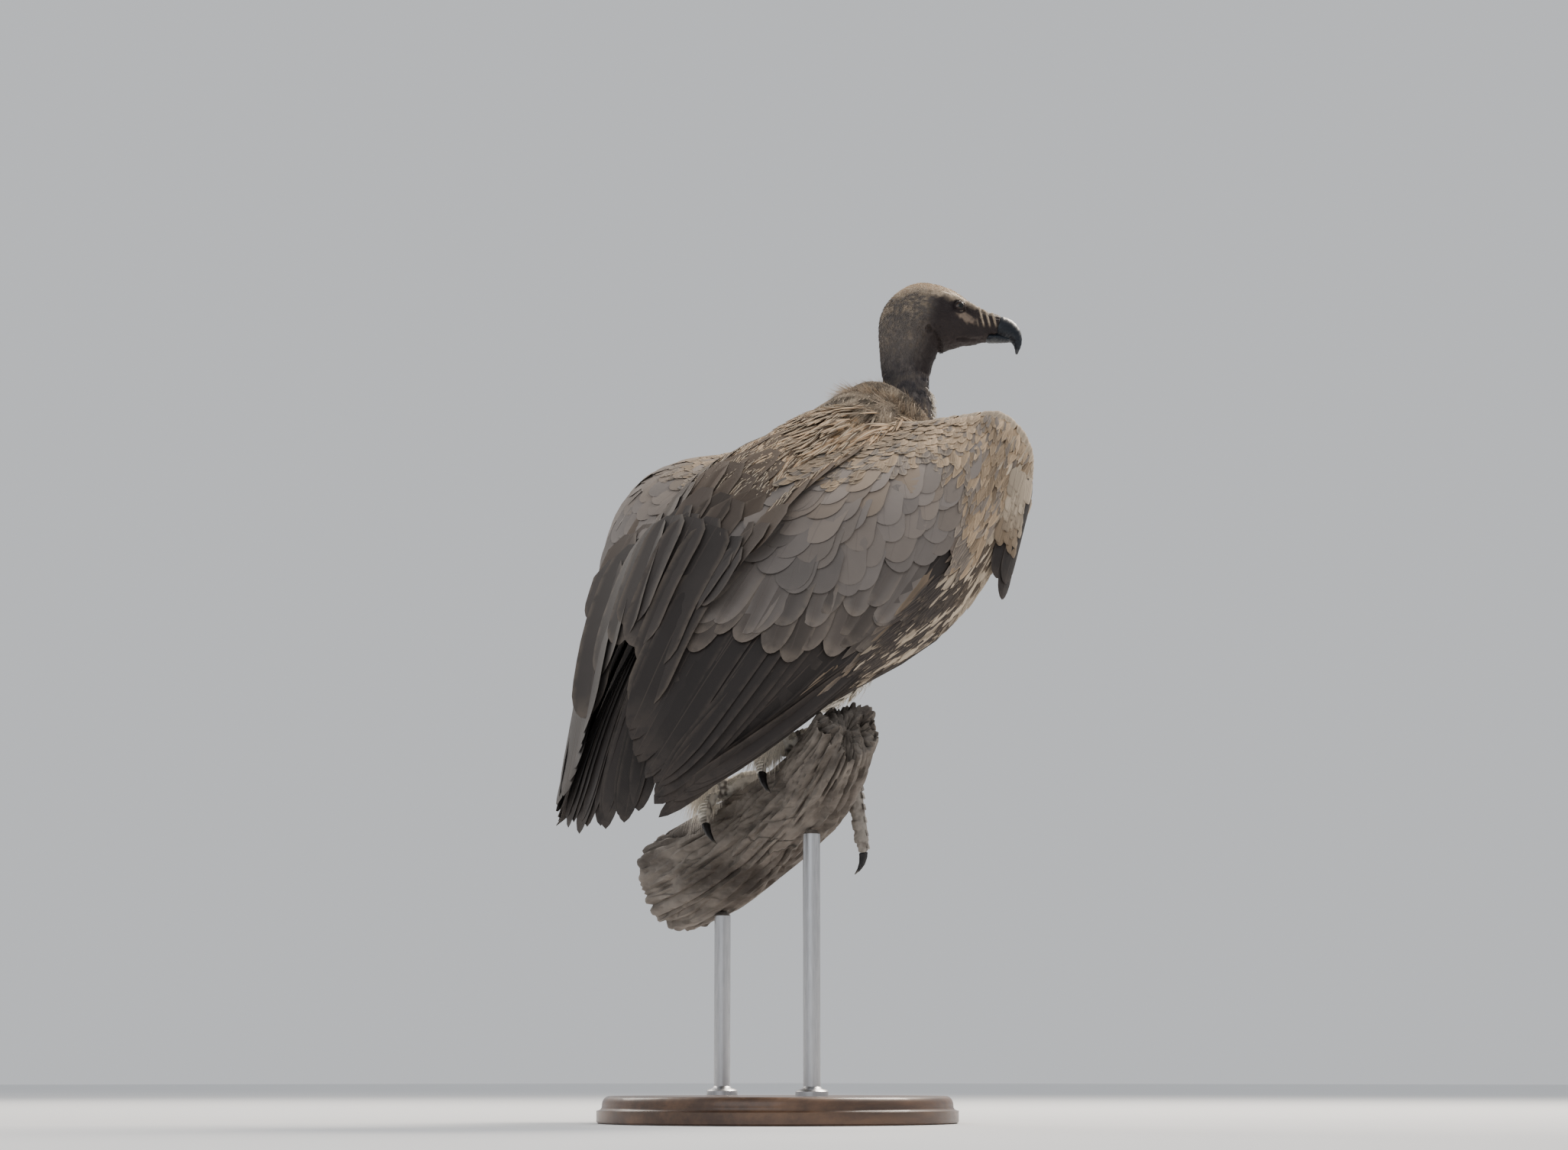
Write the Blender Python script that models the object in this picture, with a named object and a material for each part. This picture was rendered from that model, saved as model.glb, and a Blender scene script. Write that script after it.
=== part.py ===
"""White-backed vulture perched on a cut length of branch, on a plain display stand.

Metres, +Z up, +X the way the body faces, +Y the bird's left. The origin is the middle of
the stand's underside. The body is built from lofted sections, each wing from one curved
surface with a thickness, and neighbours are then cut back to a thin gap.
"""

import math

import bmesh
import bpy
from mathutils import Vector

GAP = 0.0003
HEAD_CENTRE = Vector((0.195, 0.0, 0.800))
HEAD_TURN = math.radians(-45.0)
LEFT_WING_LIFT = 0.066
LEFT_WING_SPREAD = 0.022
WING_EDGE_THICKNESS = 0.0035
WING_ARM_THICKNESS = 0.026
COVERT_END = 0.50
PRIMARY_START = 0.64
SECONDARIES = 9
PRIMARIES = 5
RECTRICES = 12
TAIL_THICKNESS = 0.006
EYE_RADIUS = 0.0078
TOE_RADIUS = 0.0066
CLAW_LENGTH = 0.024
BASE_RADIUS = 0.170
BASE_THICKNESS = 0.025
ROD_RADIUS = 0.008

COLOURS = {
    "down_pale": ((0.56, 0.47, 0.35), 0.95),
    "skin_dark": ((0.06, 0.055, 0.055), 0.55),
    "feather_mantle": ((0.30, 0.22, 0.14), 0.85),
    "feather_covert": ((0.46, 0.38, 0.28), 0.85),
    "feather_flight": ((0.10, 0.075, 0.055), 0.75),
    "feather_white": ((0.72, 0.67, 0.58), 0.95),
    "horn": ((0.035, 0.037, 0.042), 0.30),
    "eye": ((0.03, 0.015, 0.01), 0.08),
    "scute": ((0.09, 0.085, 0.085), 0.60),
    "claw": ((0.02, 0.02, 0.022), 0.35),
    "bark": ((0.42, 0.38, 0.33), 0.90),
    "stand_wood": ((0.16, 0.09, 0.05), 0.45),
    "stand_steel": ((0.55, 0.55, 0.56), 0.30),
}


# ---- scene and material helpers ----

def clear_scene():
    for obj in list(bpy.data.objects):
        bpy.data.objects.remove(obj, do_unlink=True)


def material(slot):
    """The named Principled material, made once."""
    found = bpy.data.materials.get(slot)
    if found:
        return found
    made = bpy.data.materials.new(slot)
    made.use_nodes = True
    colour, roughness = COLOURS[slot]
    shader = made.node_tree.nodes["Principled BSDF"]
    shader.inputs["Base Color"].default_value = (*colour, 1.0)
    shader.inputs["Roughness"].default_value = roughness
    shader.inputs["Metallic"].default_value = 1.0 if slot == "stand_steel" else 0.0
    return made


def add_object(name, mesh, slot):
    obj = bpy.data.objects.new(name, mesh)
    bpy.context.scene.collection.objects.link(obj)
    obj.data.materials.append(material(slot))
    return obj


# ---- curves and frames ----

def spline(points, t):
    """The point at t in 0..1 on a Catmull-Rom curve through evenly spaced points."""
    last = len(points) - 1
    place = min(max(t, 0.0), 1.0) * last
    i = min(int(place), last - 1)
    f = place - i
    p1 = points[i]
    p2 = points[i + 1]
    p0 = points[i - 1] if i > 0 else p1 * 2 - p2
    p3 = points[i + 2] if i + 2 <= last else p2 * 2 - p1
    a = p1 * 2
    b = p2 - p0
    c = p0 * 2 - p1 * 5 + p2 * 4 - p3
    d = p1 * 3 - p0 - p2 * 3 + p3
    return (a + b * f + c * (f * f) + d * (f * f * f)) * 0.5


def ellipse(centre, side, rise, half_side, half_rise, count):
    """A ring of points round centre, counted from side towards rise."""
    ring = []
    for i in range(count):
        turn = 2.0 * math.pi * i / count
        ring.append(centre + side * (half_side * math.cos(turn)) + rise * (half_rise * math.sin(turn)))
    return ring


def smooth(mesh, angle=50.0):
    mesh.shade_smooth()
    mesh.set_sharp_from_angle(angle=math.radians(angle))


def loft(name, rings, slot, angle=50.0):
    """One closed body through rings of equal count, each end closed by a fan."""
    bm = bmesh.new()
    rows = [[bm.verts.new(p) for p in ring] for ring in rings]
    count = len(rows[0])
    for low, high in zip(rows, rows[1:]):
        for i in range(count):
            j = (i + 1) % count
            bm.faces.new((low[i], low[j], high[j], high[i]))
    for row in (rows[0], rows[-1]):
        middle = bm.verts.new(sum((v.co for v in row), Vector()) / count)
        for i in range(count):
            bm.faces.new((row[i], row[(i + 1) % count], middle))
    bmesh.ops.recalc_face_normals(bm, faces=bm.faces)
    bmesh.ops.triangulate(bm, faces=bm.faces)
    mesh = bpy.data.meshes.new(name)
    bm.to_mesh(mesh)
    bm.free()
    smooth(mesh, angle)
    return add_object(name, mesh, slot)


def tube(name, stations, slot, side, steps, sides, angle=50.0):
    """A loft along a curve. Stations are (centre, half width along side, half height)."""
    centres = [Vector(s[0]) for s in stations]
    sizes = [Vector((s[1], s[2], 0.0)) for s in stations]
    side = Vector(side).normalized()
    rings = []
    for i in range(steps + 1):
        t = i / steps
        centre = spline(centres, t)
        ahead = spline(centres, min(t + 0.01, 1.0)) - spline(centres, max(t - 0.01, 0.0))
        across = (side - ahead * (side.dot(ahead) / ahead.length_squared)).normalized()
        rise = ahead.normalized().cross(across)
        size = spline(sizes, t)
        rings.append(ellipse(centre, across, rise, size.x, size.y, sides))
    return loft(name, rings, slot, angle)


# ---- cutting neighbours back to a gap ----

def inflated_copy(obj, gap):
    bm = bmesh.new()
    bm.from_mesh(obj.data)
    bm.normal_update()
    moves = [(v, v.normal * gap) for v in bm.verts]
    for vert, move in moves:
        vert.co += move
    mesh = bpy.data.meshes.new("cutter")
    bm.to_mesh(mesh)
    bm.free()
    cutter = bpy.data.objects.new("cutter", mesh)
    cutter.hide_render = True
    cutter.display_type = "WIRE"
    bpy.context.scene.collection.objects.link(cutter)
    return cutter


def boxes_meet(a, b):
    for axis in range(3):
        a_line = [v.co[axis] for v in a.data.vertices]
        b_line = [v.co[axis] for v in b.data.vertices]
        if max(a_line) < min(b_line) - GAP or max(b_line) < min(a_line) - GAP:
            return False
    return True


def islands(bm):
    """Lists of faces that hang together."""
    left = set(bm.faces)
    found = []
    while left:
        queue = [left.pop()]
        island = []
        while queue:
            face = queue.pop()
            island.append(face)
            for edge in face.edges:
                for other in edge.link_faces:
                    if other in left:
                        left.remove(other)
                        queue.append(other)
        found.append(island)
    return found


def keep_largest(mesh):
    """Drops all but the biggest piece, and says whether that piece is closed."""
    bm = bmesh.new()
    bm.from_mesh(mesh)
    groups = sorted(islands(bm), key=lambda faces: sum(f.calc_area() for f in faces))
    for group in groups[:-1]:
        bmesh.ops.delete(bm, geom=group, context="FACES")
    loose = [v for v in bm.verts if not v.link_faces]
    bmesh.ops.delete(bm, geom=loose, context="VERTS")
    closed = bool(bm.faces) and all(len(edge.link_faces) == 2 for edge in bm.edges)
    bm.to_mesh(mesh)
    bm.free()
    return closed


def combine(obj, other, operation, solver, use_self):
    """The mesh that a Boolean makes of obj and other."""
    modifier = obj.modifiers.new("combine", "BOOLEAN")
    modifier.operation = operation
    modifier.solver = solver
    if solver == "EXACT":
        modifier.use_self = use_self
    modifier.object = other
    graph = bpy.context.evaluated_depsgraph_get()
    result = bpy.data.meshes.new_from_object(obj.evaluated_get(graph))
    obj.modifiers.clear()
    return result


def boolean(obj, other, operation):
    """Changes obj, with the manifold solver only where the exact one leaves no closed body."""
    for solver, use_self in (("EXACT", False), ("EXACT", True), ("MANIFOLD", False)):
        result = combine(obj, other, operation, solver, use_self)
        if keep_largest(result):
            break
    obj.data = result


def carve(obj, neighbours, gap=GAP):
    """Cuts every neighbour, grown by the gap, out of the object."""
    for neighbour in neighbours:
        if not boxes_meet(obj, neighbour):
            continue
        cutter = inflated_copy(neighbour, gap)
        boolean(obj, cutter, "DIFFERENCE")
        bpy.data.objects.remove(cutter, do_unlink=True)
    smooth(obj.data)


# ---- head ----

HEAD_AHEAD = Vector((math.cos(HEAD_TURN), math.sin(HEAD_TURN), 0.0))
HEAD_SIDE = Vector((0.0, 0.0, 1.0)).cross(HEAD_AHEAD)


def head_point(ahead, up, side=0.0):
    return HEAD_CENTRE + HEAD_AHEAD * ahead + HEAD_SIDE * side + Vector((0.0, 0.0, up))


def head_rings(sections, steps, sides):
    """Rings from (ahead, up, lean in degrees, half height, half width) sections."""
    places = [Vector(s[:3]) for s in sections]
    sizes = [Vector((s[3], s[4], 0.0)) for s in sections]
    rings = []
    for i in range(steps + 1):
        t = i / steps
        place = spline(places, t)
        size = spline(sizes, t)
        lean = math.radians(place.z)
        rise = HEAD_AHEAD * -math.sin(lean) + Vector((0.0, 0.0, math.cos(lean)))
        centre = head_point(place.x, place.y)
        rings.append(ellipse(centre, HEAD_SIDE, rise, size.y, size.x, sides))
    return rings


def make_head():
    sections = (
        (-0.0060, -0.046, 90, 0.0245, 0.0240),
        (-0.0045, -0.026, 84, 0.0285, 0.0255),
        (0.0000, 0.004, 62, 0.0355, 0.0290),
        (0.0160, 0.0165, 24, 0.0388, 0.0305),
        (0.0360, 0.0145, -4, 0.0340, 0.0265),
        (0.0560, 0.0095, -15, 0.0245, 0.0190),
        (0.0740, 0.0083, -20, 0.0165, 0.0135),
        (0.0890, 0.0062, -18, 0.0122, 0.0108),
    )
    return loft("head", head_rings(sections, 12, 12), "down_pale")


def make_upper_bill():
    sections = (
        (0.0885, 0.0075, -18, 0.0125, 0.0108),
        (0.0985, 0.0035, -28, 0.0122, 0.0100),
        (0.1060, -0.0020, -52, 0.0085, 0.0080),
        (0.1095, -0.0110, -82, 0.0045, 0.0050),
        (0.1085, -0.0215, -97, 0.0010, 0.0011),
    )
    return loft("upper_bill", head_rings(sections, 7, 10), "horn")


def make_lower_bill():
    sections = (
        (0.0580, -0.0070, 6, 0.0055, 0.0125),
        (0.0780, -0.0050, 4, 0.0050, 0.0092),
        (0.0930, -0.0052, 0, 0.0044, 0.0070),
        (0.1030, -0.0072, -12, 0.0018, 0.0030),
    )
    return loft("lower_bill", head_rings(sections, 4, 10), "horn")


def make_eye(name, side):
    bm = bmesh.new()
    bmesh.ops.create_uvsphere(bm, u_segments=10, v_segments=6, radius=EYE_RADIUS)
    bmesh.ops.translate(bm, verts=bm.verts, vec=head_point(0.0480, 0.0240, side * 0.0150))
    bmesh.ops.triangulate(bm, faces=bm.faces)
    mesh = bpy.data.meshes.new(name)
    bm.to_mesh(mesh)
    bm.free()
    smooth(mesh)
    return add_object(name, mesh, "eye")


# ---- neck, ruff, trunk and tail ----

def make_neck():
    top = head_point(-0.006, -0.046)
    stations = (
        ((0.150, 0.0, 0.630), 0.040, 0.034),
        ((0.176, 0.0, 0.676), 0.036, 0.032),
        ((0.188, 0.002, 0.718), 0.028, 0.0275),
        (top + Vector((0.0, 0.0, -0.014)), 0.024, 0.0245),
        (top + Vector((0.0, 0.0, 0.004)), 0.024, 0.0245),
    )
    return tube("neck", stations, "skin_dark", (0, 1, 0), 6, 14)


def make_ruff():
    """A soft collar round the foot of the neck, thick at the nape and lowest on the right."""
    centre = Vector((0.160, 0.0, 0.677))
    ahead = Vector((0.90, 0.0, -0.436))
    side = Vector((0.0, 1.0, 0.0))
    rise = ahead.cross(side)
    around = 16
    sides = 7
    bm = bmesh.new()
    rings = []
    for i in range(around):
        turn = 2.0 * math.pi * i / around
        out = ahead * math.cos(turn) + side * math.sin(turn)
        swell = 0.0205 - 0.0080 * math.cos(turn)
        nape = 0.5 - 0.5 * math.cos(turn)
        middle = centre + ahead * (0.034 * math.cos(turn)) + side * (0.038 * math.sin(turn))
        middle += rise * (0.018 * nape + 0.011 * math.sin(turn))
        rings.append([bm.verts.new(p) for p in ellipse(middle, out, rise, swell * 0.85, swell, sides)])
    for i in range(around):
        near = rings[i]
        far = rings[(i + 1) % around]
        for j in range(sides):
            k = (j + 1) % sides
            bm.faces.new((near[j], near[k], far[k], far[j]))
    bmesh.ops.recalc_face_normals(bm, faces=bm.faces)
    bmesh.ops.triangulate(bm, faces=bm.faces)
    mesh = bpy.data.meshes.new("ruff")
    bm.to_mesh(mesh)
    bm.free()
    smooth(mesh)
    return add_object("ruff", mesh, "down_pale")


def make_trunk():
    stations = (
        ((0.212, 0.0, 0.628), 0.030, 0.028),
        ((0.196, 0.0, 0.624), 0.074, 0.070),
        ((0.150, 0.0, 0.610), 0.096, 0.102),
        ((0.100, 0.0, 0.590), 0.100, 0.114),
        ((0.040, 0.0, 0.560), 0.097, 0.108),
        ((-0.020, 0.0, 0.534), 0.090, 0.096),
        ((-0.075, 0.0, 0.508), 0.080, 0.080),
        ((-0.125, 0.0, 0.481), 0.062, 0.060),
        ((-0.165, 0.0, 0.458), 0.041, 0.039),
        ((-0.178, 0.0, 0.444), 0.018, 0.018),
    )
    return tube("trunk", stations, "feather_mantle", (0, 1, 0), 12, 18)


def make_shoulder(hand, side):
    """The feathered upper arm, which fills the room between the trunk and the wing."""
    stations = (
        ((0.172, hand * 0.112, 0.628), 0.016, 0.028),
        ((0.145, hand * 0.104, 0.620), 0.032, 0.050),
        ((0.085, hand * 0.100, 0.588), 0.036, 0.056),
        ((0.010, hand * 0.096, 0.545), 0.032, 0.046),
        ((-0.050, hand * 0.088, 0.505), 0.016, 0.026),
    )
    return tube("shoulder_" + side, stations, "feather_mantle", (0, 1, 0), 5, 10)


def slab(name, columns, rows, surface, slot):
    """A closed plate. surface(u, v) gives its two faces' points at one place."""
    bm = bmesh.new()
    outer = []
    inner = []
    for i in range(columns + 1):
        pairs = [surface(i / columns, j / rows) for j in range(rows + 1)]
        outer.append([bm.verts.new(p[0]) for p in pairs])
        inner.append([bm.verts.new(p[1]) for p in pairs])
    for i in range(columns):
        for j in range(rows):
            bm.faces.new((outer[i][j], outer[i + 1][j], outer[i + 1][j + 1], outer[i][j + 1]))
            bm.faces.new((inner[i][j + 1], inner[i + 1][j + 1], inner[i + 1][j], inner[i][j]))
    for i in range(columns):
        for j in (0, rows):
            bm.faces.new((outer[i][j], inner[i][j], inner[i + 1][j], outer[i + 1][j]))
    for j in range(rows):
        for i in (0, columns):
            bm.faces.new((outer[i][j], outer[i][j + 1], inner[i][j + 1], inner[i][j]))
    bmesh.ops.recalc_face_normals(bm, faces=bm.faces)
    bmesh.ops.triangulate(bm, faces=bm.faces)
    if bm.calc_volume(signed=True) < 0.0:
        bmesh.ops.reverse_faces(bm, faces=bm.faces)
    mesh = bpy.data.meshes.new(name)
    bm.to_mesh(mesh)
    bm.free()
    smooth(mesh, 35.0)
    return add_object(name, mesh, slot)


def tip_scallop(place, feathers, depth):
    """How far the edge stops short of a feather's tip, for rounded tips side by side."""
    across = (place * feathers) % 1.0 * 2.0 - 1.0
    return depth * (1.0 - math.sqrt(max(0.0, 1.0 - across * across)))


def tail_surface(u, v):
    """Points above and below the folded tail; u runs from right to left, v to the tips."""
    across = u * 2.0 - 1.0
    root = Vector((-0.130, 0.003, 0.490))
    tip = Vector((-0.229, 0.011, 0.262))
    reach = 1.0 - 0.07 * across * across - tip_scallop(u, RECTRICES, 0.055)
    along = v * reach
    place = root.lerp(tip, along)
    half_width = 0.030 + 0.026 * along
    droop = 0.012 * across * across
    bow = 0.012 * math.sin(math.pi * along)
    face = Vector((-0.93, 0.0, 0.36))
    middle = place + Vector((0.0, across * half_width, 0.0)) + face * (bow - droop)
    depth = TAIL_THICKNESS * (1.6 - along)
    return middle + face * (depth * 0.5), middle - face * (depth * 0.5)


# ---- wings ----

# One curve down the folded wing, from root to tip, for each place from its back edge to its
# leading edge. These are the right wing's; the left one mirrors them.
WING_COLUMNS = (
    ((0.105, -0.050, 0.686), (-0.066, -0.062, 0.588), (-0.165, -0.052, 0.480), (-0.220, -0.030, 0.354)),
    ((0.119, -0.078, 0.682), (-0.047, -0.100, 0.580), (-0.147, -0.085, 0.461), (-0.221, -0.045, 0.311)),
    ((0.142, -0.110, 0.687), (-0.027, -0.140, 0.562), (-0.133, -0.125, 0.423), (-0.223, -0.065, 0.288)),
    ((0.165, -0.148, 0.686), (0.045, -0.166, 0.545), (-0.085, -0.145, 0.406), (-0.217, -0.072, 0.281)),
    ((0.192, -0.162, 0.652), (0.068, -0.172, 0.508), (-0.080, -0.150, 0.390), (-0.212, -0.076, 0.279)),
    ((0.186, -0.163, 0.590), (0.064, -0.166, 0.463), (-0.079, -0.143, 0.379), (-0.209, -0.078, 0.279)),
)


def wing_outside(hand, s, t):
    """The folded wing's outer surface. s runs from the back to the leading edge, t to the tip."""
    across = [spline([Vector(p) for p in column], t) for column in WING_COLUMNS]
    point = spline(across, s)
    if hand > 0:
        ridge = math.exp(-((s - 0.38) / 0.28) ** 2 - ((t - 0.37) / 0.28) ** 2)
        point = Vector((point.x, -point.y, point.z))
        point += Vector((0.0, LEFT_WING_SPREAD, LEFT_WING_LIFT)) * ridge
    return point


def wing_normal(hand, s, t):
    """Unit normal out of the wing, away from the body."""
    step = 0.01
    along_s = wing_outside(hand, min(s + step, 1.0), t) - wing_outside(hand, max(s - step, 0.0), t)
    along_t = wing_outside(hand, s, min(t + step, 1.0)) - wing_outside(hand, s, max(t - step, 0.0))
    return along_s.cross(along_t).normalized() * hand


def wing_thickness(s, t):
    arm = max(0.0, 1.0 - t / 0.62)
    rounded = math.sqrt(min(1.0, t / 0.06 + 0.04))
    edge = min(1.0, (1.0 - s) / 0.16 + 0.45)
    return WING_EDGE_THICKNESS + WING_ARM_THICKNESS * arm ** 1.2 * rounded * edge


def wing_pair(hand, s, t, sink=0.0):
    outer = wing_outside(hand, s, t)
    normal = wing_normal(hand, s, t)
    return outer - normal * sink, outer - normal * (wing_thickness(s, t) + sink)


def covert_edge(s):
    """Where the greater coverts end along the wing, with their rounded tips."""
    return COVERT_END - 0.10 * s * s - tip_scallop(s, 10, 0.022)


def make_wing(hand):
    side = "left" if hand > 0 else "right"
    seam = 0.006

    def coverts(u, v):
        return wing_pair(hand, u, v ** 1.3 * covert_edge(u))

    def secondaries(u, v):
        s = u * (PRIMARY_START - seam)
        start = COVERT_END - 0.10 * s * s + seam
        end = 1.0 - tip_scallop(u, SECONDARIES, 0.05)
        return wing_pair(hand, s, start + (end - start) * v)

    def primaries(u, v):
        s = PRIMARY_START + seam + (1.0 - PRIMARY_START - seam) * u
        start = COVERT_END - 0.10 * s * s + seam
        end = 1.0 - tip_scallop(u, PRIMARIES, 0.03) + 0.02 * u
        return wing_pair(hand, s, min(1.0, start + (end - start) * v))

    made = [
        slab("wing_coverts_" + side, 20, 5, coverts, "feather_covert"),
        slab("wing_secondaries_" + side, 18, 3, secondaries, "feather_flight"),
        slab("wing_primaries_" + side, 10, 4, primaries, "feather_flight"),
    ]
    made.append(make_alula(hand, side))
    return made


def make_alula(hand, side):
    """The tuft of short stiff feathers that hangs from the wrist, outside the coverts."""
    root = Vector((0.172, hand * 0.1730, 0.606))
    tip = Vector((0.121, hand * 0.1775, 0.494))
    out = Vector((0.0, hand, 0.0))
    across = Vector((0.908, 0.0, -0.418))

    def surface(u, v):
        place = u * 2.0 - 1.0
        reach = 1.0 - 0.10 * (1.0 - place) - 0.8 * tip_scallop(u, 2, 0.10)
        along = v * reach
        half_width = 0.011 + 0.010 * math.sin(math.pi * min(1.0, along * 1.15))
        middle = root.lerp(tip, along) + across * (place * half_width)
        middle -= out * (0.004 * place * place)
        depth = 0.0014 + 0.0022 * (1.0 - v)
        return middle + out * depth, middle - out * depth

    return slab("alula_" + side, 8, 4, surface, "feather_flight")


# ---- legs and feet ----

LIMB_POINTS = (
    ((0.060, 0.200, 0.238), 0.052),
    ((0.042, 0.130, 0.250), 0.051),
    ((0.025, 0.060, 0.269), 0.047),
    ((0.008, 0.000, 0.288), 0.044),
    ((-0.024, -0.070, 0.308), 0.040),
    ((-0.050, -0.120, 0.330), 0.036),
    ((-0.068, -0.155, 0.350), 0.031),
)


def limb_centre(t):
    return spline([Vector(p[0]) for p in LIMB_POINTS], t)


def limb_radius(t):
    return spline([Vector((p[1], 0.0, 0.0)) for p in LIMB_POINTS], t).x


class Foot:
    """One foot on the limb: where along it, how far round it, and how its toes lie."""

    def __init__(self, hand, along, turn, toe_turns, hind_turn):
        self.hand = hand
        self.along = along
        self.turn = math.radians(turn)
        self.toe_turns = [math.radians(a) for a in toe_turns]
        self.hind_turn = math.radians(hind_turn)
        step = limb_centre(along + 0.02) - limb_centre(along - 0.02)
        self.axis = step.normalized()
        self.up = (Vector((0, 0, 1)) - self.axis * self.axis.z).normalized()
        self.ahead = self.axis.cross(self.up)
        if self.ahead.x < 0.0:
            self.ahead = -self.ahead

    def around(self, turn, height, shift=0.0):
        """A point at an angle from the limb's top, height above its bark, shifted along it."""
        radius = limb_radius(self.along) + height
        out = self.up * math.cos(turn) + self.ahead * math.sin(turn)
        return limb_centre(self.along) + out * radius + self.axis * shift

    def pad(self):
        return self.around(self.turn, 0.011)


FEET = {
    "left": Foot(1, 0.335, -26.0, (36.0, 44.0, 34.0), -76.0),
    "right": Foot(-1, 0.640, -20.0, (52.0, 88.0, 50.0), -70.0),
}


def toe_path(foot, end_turn, root_shift, tip_shift, hangs):
    """Points along a toe that bends over the limb, or hangs clear of it at the end."""
    points = []
    for i in range(5):
        f = i / 4
        turn = foot.turn + (end_turn - foot.turn) * f
        lift = 0.0085 + 0.004 * math.sin(math.pi * min(1.0, f * 1.1))
        points.append(foot.around(turn, lift, root_shift + (tip_shift - root_shift) * f))
    if hangs:
        points[-1] = points[-2] + (points[-1] - points[-2]) * 0.8
        points.append(points[-1] + Vector((0.012, 0.0, -0.058)))
    return points


def claw_path(start, ahead, down, length):
    points = []
    for i in range(4):
        bend = math.radians(62.0) * i / 3
        points.append(start + ahead * (length * math.sin(bend)) + down * (length * (1.0 - math.cos(bend))))
    return points


def make_toe(name, foot, end_turn, root_shift, tip_shift, hangs):
    """A toe and its claw, as two solids."""
    points = toe_path(foot, end_turn, root_shift, tip_shift, hangs)
    last = len(points) - 1
    radius = TOE_RADIUS * (1.3 if hangs else 1.0)
    sizes = [radius * (1.15 - 0.35 * i / last) for i in range(last + 1)]
    stations = [(p, r, r) for p, r in zip(points, sizes)]
    toe = tube("toe_" + name, stations, "scute", foot.axis, 5, 7)
    ahead = (points[-1] - points[-2]).normalized()
    inward = (limb_centre(foot.along) - points[-1]).normalized()
    down = (inward - ahead * inward.dot(ahead)).normalized()
    claw_points = claw_path(points[-1] - ahead * 0.002, ahead, down, CLAW_LENGTH)
    claw_sizes = (0.0048, 0.0040, 0.0024, 0.0006)
    stations = [(p, r * 0.8, r) for p, r in zip(claw_points, claw_sizes)]
    claw = tube("claw_" + name, stations, "claw", foot.axis, 4, 6)
    return toe, claw


def make_foot(side):
    """The foot, its four toes joined as one solid, and the four claws."""
    foot = FEET[side]
    hangs = side == "right"
    plans = (
        ("middle", foot.toe_turns[1], 0.0, -0.004, hangs),
        ("inner", foot.toe_turns[0], -foot.hand * 0.008, -foot.hand * 0.028, False),
        ("outer", foot.toe_turns[2], foot.hand * 0.008, foot.hand * 0.028, False),
        ("hind", foot.hind_turn, 0.0, 0.006, False),
    )
    toes = []
    claws = []
    for label, turn, root_shift, tip_shift, hang in plans:
        toe, claw = make_toe(label + "_" + side, foot, turn, root_shift, tip_shift, hang)
        toes.append(toe)
        claws.append(claw)
    body = toes[0]
    for toe in toes[1:]:
        boolean(body, toe, "UNION")
        bpy.data.objects.remove(toe, do_unlink=True)
    body.name = "foot_" + side
    return body, claws


def make_tarsus(side):
    foot = FEET[side]
    pad = foot.pad()
    ankle = pad + Vector((-0.058, foot.hand * 0.002, 0.058))
    stations = (
        (ankle + Vector((-0.004, 0.0, 0.012)), 0.0105, 0.0120),
        (ankle, 0.0110, 0.0130),
        (ankle.lerp(pad, 0.5), 0.0085, 0.0100),
        (ankle.lerp(pad, 0.9), 0.0110, 0.0110),
        (pad + Vector((0.002, 0.0, 0.000)), 0.0135, 0.0115),
    )
    return tube("tarsus_" + side, stations, "scute", (0, 1, 0), 6, 10)


def make_thigh(side):
    """Thigh and shin in their loose feathers, down to the ankle."""
    foot = FEET[side]
    ankle = foot.pad() + Vector((-0.058, foot.hand * 0.002, 0.058))
    stations = (
        ((0.020, foot.hand * 0.060, 0.500), 0.030, 0.045),
        ((0.005, foot.hand * 0.068, 0.470), 0.046, 0.062),
        ((-0.025, foot.hand * 0.068, 0.435), 0.042, 0.056),
        (ankle + Vector((-0.004, 0.0, 0.020)), 0.030, 0.036),
        (ankle + Vector((-0.012, 0.0, -0.012)), 0.021, 0.024),
        (ankle + Vector((-0.020, 0.0, -0.036)), 0.006, 0.008),
    )
    return tube("thigh_" + side, stations, "feather_white", (0, 1, 0), 6, 10)


# ---- perch and stand ----

def make_perch():
    rings = []
    steps = 12
    sides = 16
    for i in range(steps + 1):
        t = i / steps
        centre = limb_centre(t)
        ahead = limb_centre(min(t + 0.01, 1.0)) - limb_centre(max(t - 0.01, 0.0))
        across = Vector((0, 0, 1)).cross(ahead).normalized()
        rise = ahead.normalized().cross(across)
        ring = ellipse(centre, across, rise, limb_radius(t), limb_radius(t), sides)
        for k, point in enumerate(ring):
            turn = 2.0 * math.pi * k / sides
            swell = 1.0 + 0.035 * math.sin(3.0 * turn + 5.0 * t) + 0.02 * math.sin(5.0 * turn - 9.0 * t)
            ring[k] = centre + (point - centre) * swell
            if i == steps:
                ring[k] += ahead.normalized() * (0.010 + 0.012 * math.sin(2.0 * turn + 0.6))
        rings.append(ring)
    return loft("perch", rings, "bark")


def make_base():
    profile = ((0.0, BASE_RADIUS), (BASE_THICKNESS - 0.004, BASE_RADIUS), (BASE_THICKNESS, BASE_RADIUS - 0.004))
    rings = []
    for height, radius in profile:
        rings.append(ellipse(Vector((0, 0, height)), Vector((1, 0, 0)), Vector((0, 1, 0)), radius, radius, 32))
    return loft("stand_base", rings, "stand_wood", 30.0)


def make_rod(name, along):
    foot = limb_centre(along)
    rings = []
    for height in (BASE_THICKNESS + GAP, foot.z):
        centre = Vector((foot.x, foot.y, height))
        rings.append(ellipse(centre, Vector((1, 0, 0)), Vector((0, 1, 0)), ROD_RADIUS, ROD_RADIUS, 14))
    return loft(name, rings, "stand_steel", 30.0)


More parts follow.
